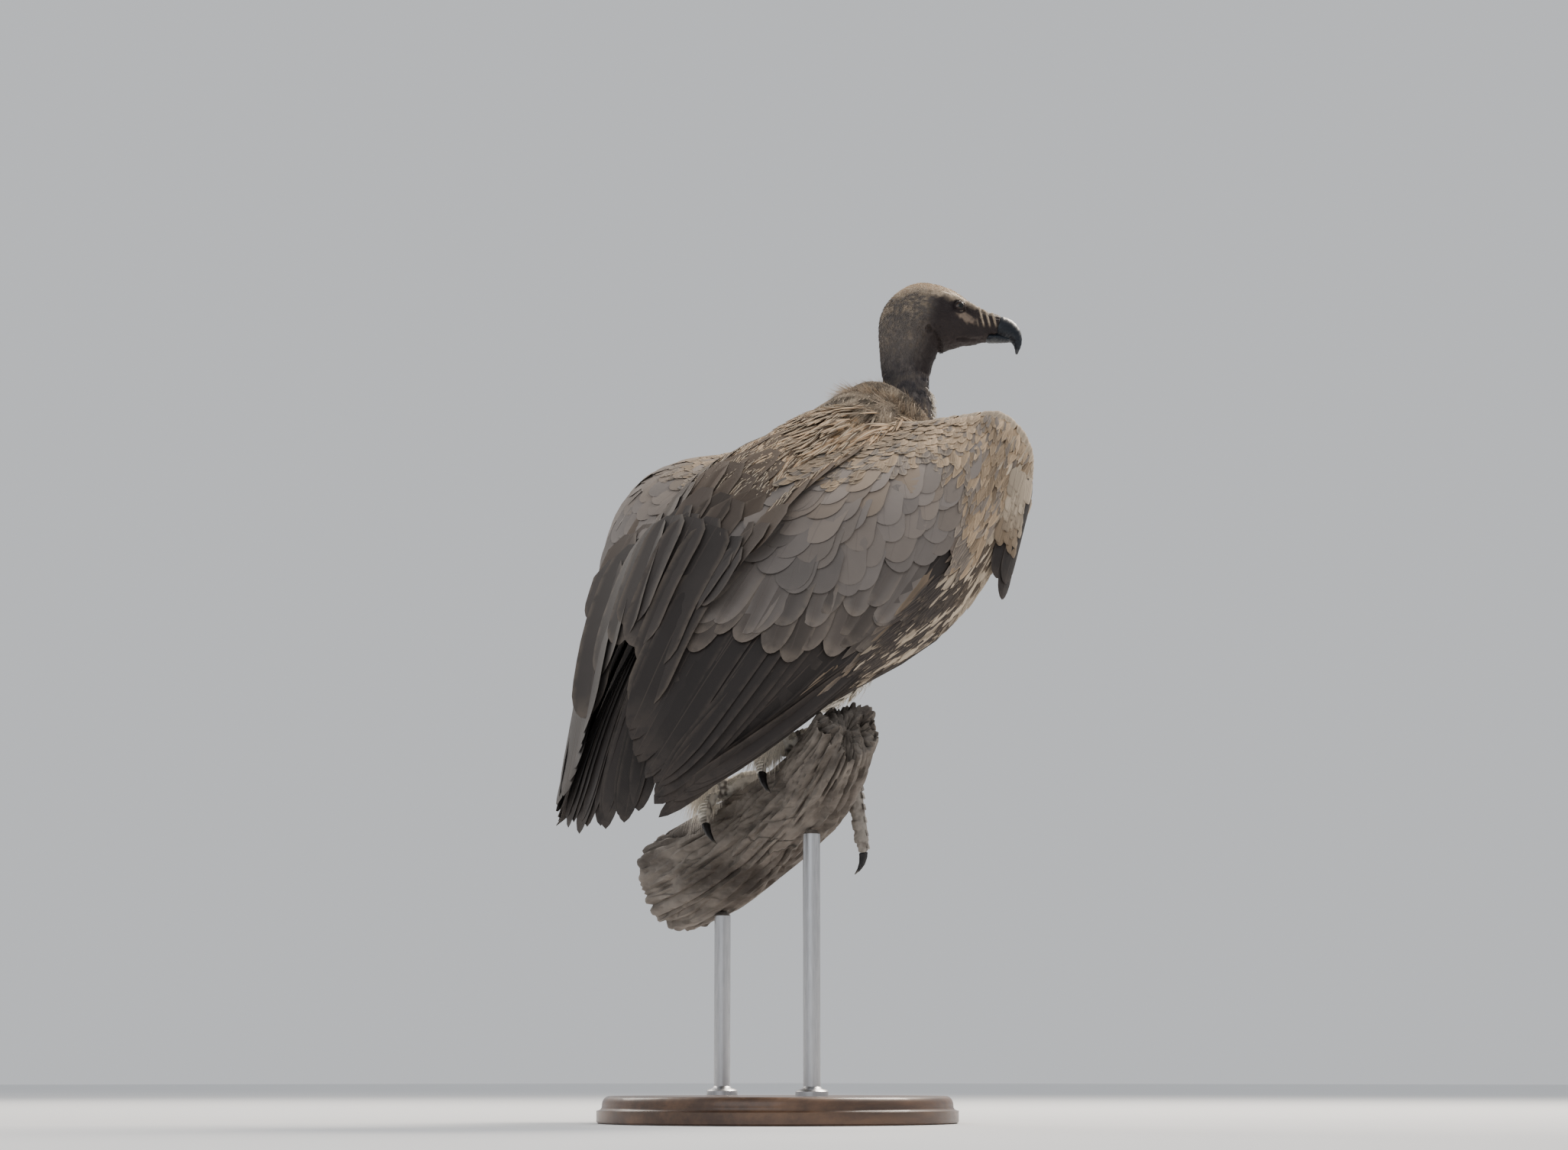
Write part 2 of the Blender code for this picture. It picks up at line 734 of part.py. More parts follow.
# ---- assembly ----

def build():
    clear_scene()
    perch = make_perch()
    make_base()
    rods = [make_rod("stand_rod_left", 0.20), make_rod("stand_rod_right", 0.66)]
    for rod in rods:
        carve(rod, [perch])

    eyes = [make_eye("eye_right", -1.0), make_eye("eye_left", 1.0)]
    upper = make_upper_bill()
    lower = make_lower_bill()
    head = make_head()
    carve(lower, [upper])
    carve(head, eyes + [upper, lower])
    neck = make_neck()
    carve(neck, [head])
    ruff = make_ruff()
    trunk = make_trunk()
    carve(trunk, [neck, ruff])
    carve(ruff, [neck])

    wings = []
    for hand in (1, -1):
        coverts, secondaries, primaries, alula = make_wing(hand)
        carve(alula, [coverts, primaries])
        for piece in (coverts, secondaries, primaries):
            carve(piece, [trunk])
        shoulder = make_shoulder(hand, "left" if hand > 0 else "right")
        carve(shoulder, [trunk, coverts, secondaries, primaries])
        wings += [coverts, secondaries, primaries, alula, shoulder]
    tail = slab("tail", 24, 2, tail_surface, "feather_flight")
    carve(tail, [trunk] + wings)

    for side in ("left", "right"):
        tarsus = make_tarsus(side)
        carve(tarsus, [perch])
        foot, claws = make_foot(side)
        carve(foot, [perch, tarsus])
        for claw in claws:
            carve(claw, [perch, foot])
        thigh = make_thigh(side)
        carve(thigh, [trunk, tarsus, foot, perch] + wings + [tail])


build()
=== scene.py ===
"""Looks of the white-backed vulture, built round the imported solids.

Metres, +Z up, +X the way the body faces, +Y the bird's left. One skin is made from the
solids of flesh. Every feather is a thin closed vane, and every lock of down a thin closed
spike, laid on smooth surfaces that follow those solids.
"""

import math

import bmesh
import bpy
import numpy as np
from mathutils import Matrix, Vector, noise
from mathutils.bvhtree import BVHTree


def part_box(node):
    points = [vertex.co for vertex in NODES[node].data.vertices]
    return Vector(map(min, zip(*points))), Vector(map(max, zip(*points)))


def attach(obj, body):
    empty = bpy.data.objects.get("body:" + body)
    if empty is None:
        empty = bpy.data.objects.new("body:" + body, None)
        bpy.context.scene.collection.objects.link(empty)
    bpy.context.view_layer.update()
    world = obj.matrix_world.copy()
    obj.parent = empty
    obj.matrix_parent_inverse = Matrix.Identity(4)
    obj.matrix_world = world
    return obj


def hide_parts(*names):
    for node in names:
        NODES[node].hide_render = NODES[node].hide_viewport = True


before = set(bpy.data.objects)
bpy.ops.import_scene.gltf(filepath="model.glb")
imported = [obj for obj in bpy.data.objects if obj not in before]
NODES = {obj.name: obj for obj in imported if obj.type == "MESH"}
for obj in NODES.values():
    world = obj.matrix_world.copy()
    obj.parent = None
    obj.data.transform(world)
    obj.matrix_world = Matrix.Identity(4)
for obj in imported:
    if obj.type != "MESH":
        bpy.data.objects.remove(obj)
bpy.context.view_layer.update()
SIDES = ((1.0, "left"), (-1.0, "right"))
UP = np.array((0.0, 0.0, 1.0))
LEFT = np.array((0.0, 1.0, 0.0))
TAU = 2.0 * math.pi


def random_source(seed):
    return np.random.default_rng(seed)


# ---- numbers as arrays: curves, surfaces and their normals ----

def unit(v):
    return v / np.maximum(np.linalg.norm(v, axis=-1, keepdims=True), 1e-12)


def smoothstep(low, high, x):
    t = np.clip((np.asarray(x, float) - low) / (high - low), 0.0, 1.0)
    return t * t * (3.0 - 2.0 * t)


def bell(x, centre, width):
    return np.exp(-(((np.asarray(x, float) - centre) / width) ** 2))


def catmull(points, t):
    """Catmull-Rom curve at t. points is (k, d), or (k, n, d) with one curve for each t."""
    points = np.asarray(points, float)
    t = np.asarray(t, float)
    last = len(points) - 1
    padded = np.concatenate([[2 * points[0] - points[1]], points, [2 * points[-1] - points[-2]]])
    place = t * last
    i = np.clip(np.floor(place), 0, last - 1).astype(int)
    f = (place - i)[..., None]
    pick = (np.arange(t.size).reshape(t.shape),) if points.ndim == 3 else ()
    p0, p1, p2, p3 = (padded[(i + k,) + pick] for k in range(4))
    a = 2 * p1 + (p2 - p0) * f + (2 * p0 - 5 * p1 + 4 * p2 - p3) * f ** 2
    return 0.5 * (a + (3 * p1 - p0 - 3 * p2 + p3) * f ** 3)


class Surface:
    """A smooth surface place(a, b), with outward normals. b runs the way the feathers lie."""

    def __init__(self, place, sign=1.0, step=0.004):
        self.place = place
        self.sign = sign
        self.step = step

    def slopes(self, a, b):
        step = self.step
        along_a = (self.place(a + step, b) - self.place(a - step, b)) / (2 * step)
        along_b = (self.place(a, b + step) - self.place(a, b - step)) / (2 * step)
        return along_a, along_b

    def normal(self, a, b):
        along_a, along_b = self.slopes(a, b)
        return unit(np.cross(along_a, along_b)) * self.sign


class Tube(Surface):
    """An elliptical tube through stations (centre, half width, half height).

    a counts turns round it from the left, b runs along it.
    """

    def __init__(self, *stations):
        self.centres = np.array([s[0] for s in stations], float)
        self.sizes = np.array([s[1:3] for s in stations], float)
        super().__init__(self.tube_place)

    def tube_place(self, a, b):
        ahead = unit(catmull(self.centres, b + 0.01) - catmull(self.centres, b - 0.01))
        across = unit(LEFT - ahead * (ahead @ LEFT)[..., None])
        rise = np.cross(ahead, across)
        size = np.maximum(catmull(self.sizes, b), 0.002)
        turn = a * TAU
        out = across * (size[..., :1] * np.cos(turn)[..., None])
        return catmull(self.centres, b) + out + rise * (size[..., 1:] * np.sin(turn)[..., None])


# ---- the shapes that the solids were made from ----

HEAD_CENTRE = np.array((0.195, 0.0, 0.800))
HEAD_TURN = math.radians(-45.0)
HEAD_AHEAD = np.array((math.cos(HEAD_TURN), math.sin(HEAD_TURN), 0.0))
HEAD_SIDE = np.cross(UP, HEAD_AHEAD)
EYE_RADIUS = 0.0078
EYE_PLACE = (0.0480, 0.0240, 0.0150)
BARE_ORBIT = 0.0125


def head_point(ahead, up, side=0.0):
    return HEAD_CENTRE + HEAD_AHEAD * ahead + HEAD_SIDE * side + UP * up


def head_frame(points):
    """Ahead, up and side of points in the head's own frame."""
    away = np.asarray(points) - HEAD_CENTRE
    return away @ HEAD_AHEAD, away @ UP, away @ HEAD_SIDE


def head_surface(sections):
    """Surface through (ahead, up, lean in degrees, half height, half width) sections."""
    table = np.array(sections, float)

    def place(a, b):
        sizes = catmull(table, b)[..., None]
        ahead, up, lean, height, width = (sizes[..., k, :] for k in range(5))
        lean = np.radians(lean)
        turn = (a * TAU)[..., None]
        rise = HEAD_AHEAD * -np.sin(lean) + UP * np.cos(lean)
        centre = HEAD_CENTRE + HEAD_AHEAD * ahead + UP * up
        return centre + HEAD_SIDE * (width * np.cos(turn)) + rise * (height * np.sin(turn))

    return Surface(place)


HEAD = head_surface((
    (-0.0060, -0.046, 90, 0.0245, 0.0240),
    (-0.0045, -0.026, 84, 0.0285, 0.0255),
    (0.0000, 0.004, 62, 0.0355, 0.0290),
    (0.0160, 0.0165, 24, 0.0388, 0.0305),
    (0.0360, 0.0145, -4, 0.0340, 0.0265),
    (0.0560, 0.0095, -15, 0.0245, 0.0190),
    (0.0740, 0.0083, -20, 0.0165, 0.0135),
    (0.0890, 0.0062, -18, 0.0122, 0.0108),
))
UPPER_BILL = head_surface((
    (0.0885, 0.0075, -18, 0.0125, 0.0108),
    (0.0985, 0.0035, -28, 0.0122, 0.0100),
    (0.1060, -0.0020, -52, 0.0085, 0.0080),
    (0.1095, -0.0110, -82, 0.0045, 0.0050),
    (0.1085, -0.0215, -97, 0.0010, 0.0011),
))
LOWER_BILL = head_surface((
    (0.0580, -0.0070, 6, 0.0055, 0.0125),
    (0.0780, -0.0050, 4, 0.0050, 0.0092),
    (0.0930, -0.0052, 0, 0.0044, 0.0070),
    (0.1030, -0.0072, -12, 0.0018, 0.0030),
))

NECK_TOP = head_point(-0.006, -0.046)
NECK = Tube(
    ((0.150, 0.0, 0.630), 0.040, 0.034),
    ((0.176, 0.0, 0.676), 0.036, 0.032),
    ((0.188, 0.002, 0.718), 0.028, 0.0275),
    (NECK_TOP - UP * 0.014, 0.024, 0.0245),
    (NECK_TOP + UP * 0.004, 0.024, 0.0245),
)
TRUNK = Tube(
    ((0.212, 0.0, 0.628), 0.030, 0.028),
    ((0.196, 0.0, 0.624), 0.074, 0.070),
    ((0.150, 0.0, 0.610), 0.096, 0.102),
    ((0.100, 0.0, 0.590), 0.100, 0.114),
    ((0.040, 0.0, 0.560), 0.097, 0.108),
    ((-0.020, 0.0, 0.534), 0.090, 0.096),
    ((-0.075, 0.0, 0.508), 0.080, 0.080),
    ((-0.125, 0.0, 0.481), 0.062, 0.060),
    ((-0.165, 0.0, 0.458), 0.041, 0.039),
    ((-0.178, 0.0, 0.444), 0.018, 0.018),
)

RUFF_CENTRE = np.array((0.160, 0.0, 0.677))
RUFF_AHEAD = np.array((0.90, 0.0, -0.436))
RUFF_RISE = np.cross(RUFF_AHEAD, LEFT)


def ruff_place(a, b):
    """a goes round the neck from the throat, b round the collar's own section."""
    turn = (a * TAU)[..., None]
    around = (b * TAU)[..., None]
    out = RUFF_AHEAD * np.cos(turn) + LEFT * np.sin(turn)
    swell = 0.0205 - 0.0080 * np.cos(turn)
    middle = RUFF_CENTRE + RUFF_AHEAD * (0.034 * np.cos(turn)) + LEFT * (0.038 * np.sin(turn))
    middle = middle + RUFF_RISE * (0.018 * (0.5 - 0.5 * np.cos(turn)) + 0.011 * np.sin(turn))
    return middle + out * (swell * 0.85 * np.cos(around)) + RUFF_RISE * (swell * np.sin(around))


RUFF = Surface(ruff_place, -1.0)

# One curve down the folded wing for each place from its back edge to its leading edge.
WING_CURVES = np.array((
    ((0.105, -0.050, 0.686), (-0.066, -0.062, 0.588), (-0.165, -0.052, 0.480), (-0.220, -0.030, 0.354)),
    ((0.119, -0.078, 0.682), (-0.047, -0.100, 0.580), (-0.147, -0.085, 0.461), (-0.221, -0.045, 0.311)),
    ((0.142, -0.110, 0.687), (-0.027, -0.140, 0.562), (-0.133, -0.125, 0.423), (-0.223, -0.065, 0.288)),
    ((0.165, -0.148, 0.686), (0.045, -0.166, 0.545), (-0.085, -0.145, 0.406), (-0.217, -0.072, 0.281)),
    ((0.192, -0.162, 0.652), (0.068, -0.172, 0.508), (-0.080, -0.150, 0.390), (-0.212, -0.076, 0.279)),
    ((0.186, -0.163, 0.590), (0.064, -0.166, 0.463), (-0.079, -0.143, 0.379), (-0.209, -0.078, 0.279)),
))
LEFT_WING_LIFT = 0.066
LEFT_WING_SPREAD = 0.022
WING_RIM = 0.10


def wing_thickness(s, t):
    arm = np.maximum(0.0, 1.0 - np.maximum(t, 0.0) / 0.62)
    rounded = np.sqrt(np.minimum(1.0, np.maximum(t, 0.0) / 0.06 + 0.04))
    edge = np.minimum(1.0, (1.0 - np.minimum(s, 1.0)) / 0.16 + 0.45)
    return 0.0035 + 0.026 * arm ** 1.2 * rounded * edge


def wing_outer(hand):
    """The folded wing's outer side: a from the back edge to the leading edge, b to the tip."""

    def place(a, b):
        shape = a.shape
        s = a.ravel()
        t = b.ravel()
        columns = np.stack([catmull(curve, t) for curve in WING_CURVES])
        point = catmull(columns, s)
        if hand > 0:
            ridge = bell(s, 0.38, 0.28) * bell(t, 0.37, 0.28)
            point = point * (1.0, -1.0, 1.0) + ridge[:, None] * (0.0, LEFT_WING_SPREAD, LEFT_WING_LIFT)
        return point.reshape(shape + (3,))

    return Surface(place, hand)


def wing_wrapped(hand):
    """The same, but past the leading edge it goes round the rim and back along the inner side."""
    outer = wing_outer(hand)

    def place(a, b):
        a = np.asarray(a, float)
        inside = a > 1.0 + WING_RIM
        s = np.where(inside, 2.0 + WING_RIM - a, np.minimum(a, 1.0))
        base = outer.place(s, b)
        normal = outer.normal(np.minimum(s, 0.995), b)
        thick = wing_thickness(s, b)[..., None]
        around = np.clip((a - 1.0) / WING_RIM, 0.0, 1.0)[..., None] * math.pi
        ahead = unit(outer.slopes(np.minimum(s, 0.995), b)[0])
        rim = ahead * np.sin(around) * np.where(inside, 0.0, 0.5)[..., None]
        return base - normal * thick * (0.5 - 0.5 * np.cos(around)) + rim * thick

    return Surface(place, hand)


WINGS = {side: wing_outer(hand) for hand, side in SIDES}
WRAPPED = {side: wing_wrapped(hand) for hand, side in SIDES}


def back_place(a, b):
    """The bird's back between the wings: a from the right wing's back edge to the left's."""
    right = WINGS["right"].place(np.full_like(a, 0.03), b)
    left = WINGS["left"].place(np.full_like(a, 0.03), b)
    bulge = np.sin(math.pi * np.clip(a, 0.0, 1.0)) * (0.030 - 0.018 * smoothstep(0.3, 0.8, b))
    lean = unit(np.array((-0.50, 0.0, 0.86)))
    return right * (1.0 - a)[..., None] + left * a[..., None] + lean * bulge[..., None]


BACK = Surface(back_place, -1.0)


TAIL_FACE = unit(np.array((-0.93, 0.0, 0.36)))


def tail_place(a, b):
    """The tail's upper side: a from right to left, b from root to tip."""
    across = a * 2.0 - 1.0
    root = np.array((-0.130, 0.003, 0.490))
    tip = np.array((-0.229, 0.011, 0.262))
    middle = root + (tip - root) * b[..., None]
    out = 0.012 * np.sin(math.pi * b) - 0.012 * across ** 2
    side = np.stack([0 * a, across * (0.030 + 0.026 * b), 0 * a], -1)
    return middle + side + TAIL_FACE * out[..., None]


TAIL = Surface(tail_place, -1.0)

LIMB_POINTS = (
    (0.060, 0.200, 0.238, 0.052),
    (0.042, 0.130, 0.250, 0.051),
    (0.025, 0.060, 0.269, 0.047),
    (0.008, 0.000, 0.288, 0.044),
    (-0.024, -0.070, 0.308, 0.040),
    (-0.050, -0.120, 0.330, 0.036),
    (-0.068, -0.155, 0.350, 0.031),
)


# ---- meshes from arrays ----

def link(name, data):
    """A new object in the scene."""
    obj = bpy.data.objects.new(name, data)
    bpy.context.scene.collection.objects.link(obj)
    return obj


def dressed(name, mesh, material):
    """The mesh as a smooth-shaded object of one material."""
    mesh.shade_smooth()
    mesh.materials.clear()
    mesh.materials.append(material)
    return link(name, mesh)


def set_values(mesh, key, values):
    layer = mesh.attributes.new(key, "FLOAT", "POINT")
    layer.data.foreach_set("value", np.asarray(values, float).ravel())


def set_tint(mesh, tint):
    whole = np.concatenate([tint, np.ones((len(tint), 1))], axis=1)
    mesh.attributes.new("tint", "FLOAT_COLOR", "POINT").data.foreach_set("color", whole.ravel())


def mesh_object(name, vertices, faces, material, attributes=None, colours=None, uv=None, sharp=None):
    """faces is a list of (n, 3) or (n, 4) arrays of vertex numbers; sharp is in degrees."""
    mesh = bpy.data.meshes.new(name)
    vertices = np.asarray(vertices, float)
    mesh.vertices.add(len(vertices))
    mesh.vertices.foreach_set("co", vertices.ravel())
    corners = np.concatenate([f.ravel() for f in faces]).astype(np.int32)
    sizes = np.concatenate([np.full(len(f), f.shape[1]) for f in faces])
    starts = np.concatenate([[0], np.cumsum(sizes)[:-1]]).astype(np.int32)
    mesh.loops.add(len(corners))
    mesh.loops.foreach_set("vertex_index", corners)
    mesh.polygons.add(len(sizes))
    mesh.polygons.foreach_set("loop_start", starts)
    mesh.update(calc_edges=True)
    for key, values in (attributes or {}).items():
        set_values(mesh, key, values)
    if colours is not None:
        set_tint(mesh, colours)
    if uv is not None:
        layer = mesh.uv_layers.new(name="OFBake")
        layer.data.foreach_set("uv", np.asarray(uv, float)[corners].ravel())
    obj = dressed(name, mesh, material)
    if sharp is not None:
        mesh.set_sharp_from_angle(angle=math.radians(sharp))
    return obj


def declare(obj, slot, replaced=()):
    """Hangs an object on the root and hides the solids it stands for; slot, what it is made of, is not used.
    """
    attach(obj, "root")
    if replaced:
        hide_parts(*replaced)


def grid_faces(rows, columns):
    """Quads between rows of a grid of vertices whose last column joins the first."""
    i, j = np.meshgrid(np.arange(rows - 1), np.arange(columns), indexing="ij")
    k = (j + 1) % columns
    quads = [i * columns + j, i * columns + k, (i + 1) * columns + k, (i + 1) * columns + j]
    return np.stack(quads, -1).reshape(-1, 4)


def capped_grid(points):
    """Vertices and faces of a closed body through rings (rows, sides, 3), a fan at each end."""
    rows, sides = points.shape[:2]
    vertices = np.concatenate([points.reshape(-1, 3), points[0].mean(0)[None], points[-1].mean(0)[None]])
    ring = np.arange(sides)
    after = (ring + 1) % sides
    first = np.stack([after, ring, np.full(sides, rows * sides)], -1)
    base = (rows - 1) * sides
    last = np.stack([base + ring, base + after, np.full(sides, rows * sides + 1)], -1)
    return vertices, [grid_faces(rows, sides), np.concatenate([first, last])]


# ---- vanes and spikes of down ----

# Outlines for vane_outline, and the places along a vane where its sections lie.
ROUND = (0.30, 0.28, 0.55, 2.2)
BROAD = (0.45, 0.20, 0.62, 2.2)
LANCE = (0.28, 0.35, 0.42, 1.55)
FLIGHT = (0.45, 0.12, 0.80, 2.0)
COVERT_STEPS = np.array((0.0, 0.2, 0.45, 0.68, 0.85, 0.95, 1.0))
SLIM_STEPS = np.array((0.0, 0.25, 0.55, 0.82, 1.0))
BROAD_STEPS = np.array((0.0, 0.25, 0.5, 0.68, 0.79, 0.875, 0.935, 0.975, 0.995, 1.0))
FLIGHT_STEPS = np.array((0.0, 0.08, 0.2, 0.32, 0.44, 0.56, 0.67, 0.77, 0.85, 0.91, 0.955, 0.985, 1.0))


def vane_outline(shape, steps):
    """Half width along a feather, 1 at the widest; shape is (root width, widest from, to, roundness)."""
    root, full, fall, power = shape
    rise = root + (1.0 - root) * smoothstep(0.0, full, steps)
    x = np.clip((steps - fall) / (1.0 - fall), 0.0, 1.0)
    return rise * np.maximum(1.0 - x ** power, 0.0) ** (1.0 / max(1.0, power - 0.3)) + 0.02


class Coat:
    """Vanes and spikes gathered into one mesh."""

    def __init__(self):
        self.vertices = []
        self.quads = []
        self.triangles = []
        self.values = {"along": [], "across": [], "tone": [], "span": []}
        self.tints = []
        self.uvs = []
        self.count = 0

    def gather(self, points, quads, along, across, tone, span, tint, uv, triangles=None):
        """points is (n, m, 3) for n like things of m vertices; faces are numbered within one."""
        n, m = points.shape[:2]
        base = self.count + np.arange(n)[:, None, None] * m
        self.vertices.append(points.reshape(-1, 3))
        self.quads.append((quads[None] + base).reshape(-1, 4))
        if triangles is not None:
            self.triangles.append((triangles[None] + base).reshape(-1, 3))
        shape = (n, m)
        for key, value in (("along", along), ("across", across), ("tone", tone), ("span", span)):
            self.values[key].append(np.broadcast_to(value, shape).ravel())
        self.tints.append(np.broadcast_to(tint[:, None, :], shape + (3,)).reshape(-1, 3))
        self.uvs.append(uv.reshape(-1, 2))
        self.count += n * m

    def build(self, name, material, slot, replaced=()):
        faces = [np.concatenate(part) for part in (self.quads, self.triangles) if part]
        values = {key: np.concatenate(parts) for key, parts in self.values.items()}
        obj = mesh_object(
            name, np.concatenate(self.vertices), faces, material, values,
            np.concatenate(self.tints), np.concatenate(self.uvs), 60.0,
        )
        declare(obj, slot, replaced)


def root_patches(a, b, chart, across, along):
    """Where each feather's patch lies on the unwrapped surface: a small square at its root's place.

    chart is (low a, high a, low b, high b, left, right) with left and right of the map's width.
    """
    low_a, high_a, low_b, high_b, left, right = chart
    size = np.clip(0.30 / math.sqrt(max(len(a), 1)), 0.003, 0.03)
    u = left + (right - left) * np.clip((a - low_a) / (high_a - low_a), 0.0, 1.0)
    v = np.clip((b - low_b) / (high_b - low_b), 0.0, 1.0)
    u = 0.02 + 0.96 * u
    v = 0.02 + 0.96 * v
    return np.stack([u[:, None] + size * 0.5 * across, v[:, None] + size * (along - 0.5)], -1)


def lay_vanes(coat, surface, a, b, length, half, shape, tint, seed, turn=0.0, lift=(-0.003, 0.001),
              camber=0.25, roll=0.0, thick=0.0004, steps=COVERT_STEPS, ragged=0.06, shake=0.0004,
              chart=(0.0, 1.0, 0.0, 1.0, 0.0, 1.0)):
    """Adds vanes with their roots at (a, b), lying along the surface's b, turned by turn.

    half is half the width, lift the heights of root and tip over the surface, and ragged and
    shake how much sizes and heights differ. A vane that a fold of the surface stretches is left out.
    """
    source = random_source(seed)
    n = len(a)
    k = len(steps)
    length = np.broadcast_to(length, (n,)) * (1.0 + ragged * source.uniform(-1, 1, n))
    half = np.broadcast_to(half, (n,)) * (1.0 + ragged * source.uniform(-1, 1, n))
    turn = np.broadcast_to(turn, (n,)) + ragged * source.uniform(-1, 1, n)
    along_a, along_b = surface.slopes(a, b)
    da = np.sin(turn) * length / np.linalg.norm(along_a, axis=-1)
    db = np.cos(turn) * length / np.linalg.norm(along_b, axis=-1)
    path_a = a[:, None] + da[:, None] * steps
    path_b = b[:, None] + db[:, None] * steps
    centre = surface.place(path_a, path_b)
    normal = surface.normal(path_a, path_b)
    low, high = (np.broadcast_to(value, (n,))[:, None] for value in lift)
    sound = np.linalg.norm(np.diff(centre, axis=1), axis=-1).sum(1) < 1.4 * length
    jitter = source.uniform(-1, 1, (n, 1)) * shake
    height = low + (high - low) * steps[None, :] ** 0.8
    centre = centre + normal * (height + jitter)[..., None]
    tangent = unit(np.gradient(centre, axis=1))
    side = unit(np.cross(tangent, normal))
    width = (half[:, None] * vane_outline(shape, steps)[None, :])[..., None]
    body = thick * (1.15 - 0.75 * steps)[None, :, None]
    tilt = np.broadcast_to(roll, (n,))[:, None, None]
    left = centre - side * width - normal * width * (camber + tilt)
    right = centre + side * width - normal * width * (camber - tilt)
    points = np.stack([left, centre + normal * body, right, centre - normal * body], axis=2)
    points = points.reshape(n, k * 4, 3)[sound]
    ends = [[3, 2, 1, 0]], [[4 * k - 4, 4 * k - 3, 4 * k - 2, 4 * k - 1]]
    quads = np.concatenate([grid_faces(k, 4), *ends])
    along = np.repeat(steps, 4)[None, :]
    across = np.tile((-1.0, 0.0, 1.0, 0.0), k)[None, :]
    tone = source.uniform(0, 1, (n, 1))[sound]
    uv = root_patches(a, b, chart, across, along)[sound]
    span = (along * length[:, None])[sound]
    coat.gather(points, quads, along, across, tone, span, tint[sound], uv)


def lay_down(coat, surface, a, b, length, radius, tint, seed, turn=0.0, lean=0.25, sink=0.001, wander=0.5,
             chart=(0.0, 1.0, 0.0, 1.0, 0.0, 1.0)):
    """Adds thin three-sided spikes that leave the surface at a low angle and bend along it."""
    source = random_source(seed)
    n = len(a)
    length = np.broadcast_to(length, (n,)) * source.uniform(0.7, 1.2, n)
    turn = np.broadcast_to(turn, (n,)) + wander * source.normal(0, 0.6, n)
    lean = np.broadcast_to(lean, (n,)) * source.uniform(0.5, 1.5, n)
    normal = surface.normal(a, b)
    along_b = unit(surface.slopes(a, b)[1])
    side = unit(np.cross(normal, along_b))
    flat = along_b * np.cos(turn)[:, None] + side * np.sin(turn)[:, None]
    start = surface.place(a, b) - normal * sink
    out = unit(flat + normal * (lean * 2.2)[:, None])
    middle = start + out * (length * 0.45)[:, None]
    tip = middle + unit(flat + normal * (lean * 0.4)[:, None]) * (length * 0.55)[:, None]
    across = unit(np.cross(out, normal))
    rings = []
    for centre, size in ((start, 1.0), (middle, 0.75)):
        for k in range(3):
            angle = TAU * k / 3
            rings.append(centre + (across * math.cos(angle) + normal * math.sin(angle)) * radius * size)
    points = np.stack(rings + [tip], axis=1)
    quads = np.array([[k, 3 + k, 3 + (k + 1) % 3, (k + 1) % 3] for k in range(3)])
    triangles = np.array([[3 + k, 6, 3 + (k + 1) % 3] for k in range(3)] + [[0, 1, 2]])
    along = np.array((0.0, 0.0, 0.0, 0.45, 0.45, 0.45, 1.0))[None, :]
    across = np.array((0.0, 0.6, -0.6, 0.0, 0.6, -0.6, 0.0))[None, :]
    tone = source.uniform(0, 1, (n, 1))
    uv = root_patches(a, b, chart, across, along)
    coat.gather(points, quads, along, across, tone, along * length[:, None], tint, uv, triangles)


def scatter(count, low_a, high_a, low_b, high_b, seed):
    """Evenly mixed places: a jittered sequence that leaves no gaps and no clumps."""
    source = random_source(seed)
    i = np.arange(count)
    a = (0.5 + i * 0.7548776662) % 1.0
    b = (0.5 + i * 0.5698402909) % 1.0
    spread = 0.5 / math.sqrt(count)
    a = low_a + (high_a - low_a) * np.clip(a + source.uniform(-spread, spread, count), 0, 1)
    b = low_b + (high_b - low_b) * np.clip(b + source.uniform(-spread, spread, count), 0, 1)
    return a, b


# ---- materials ----

BARB_PITCH = 0.0011


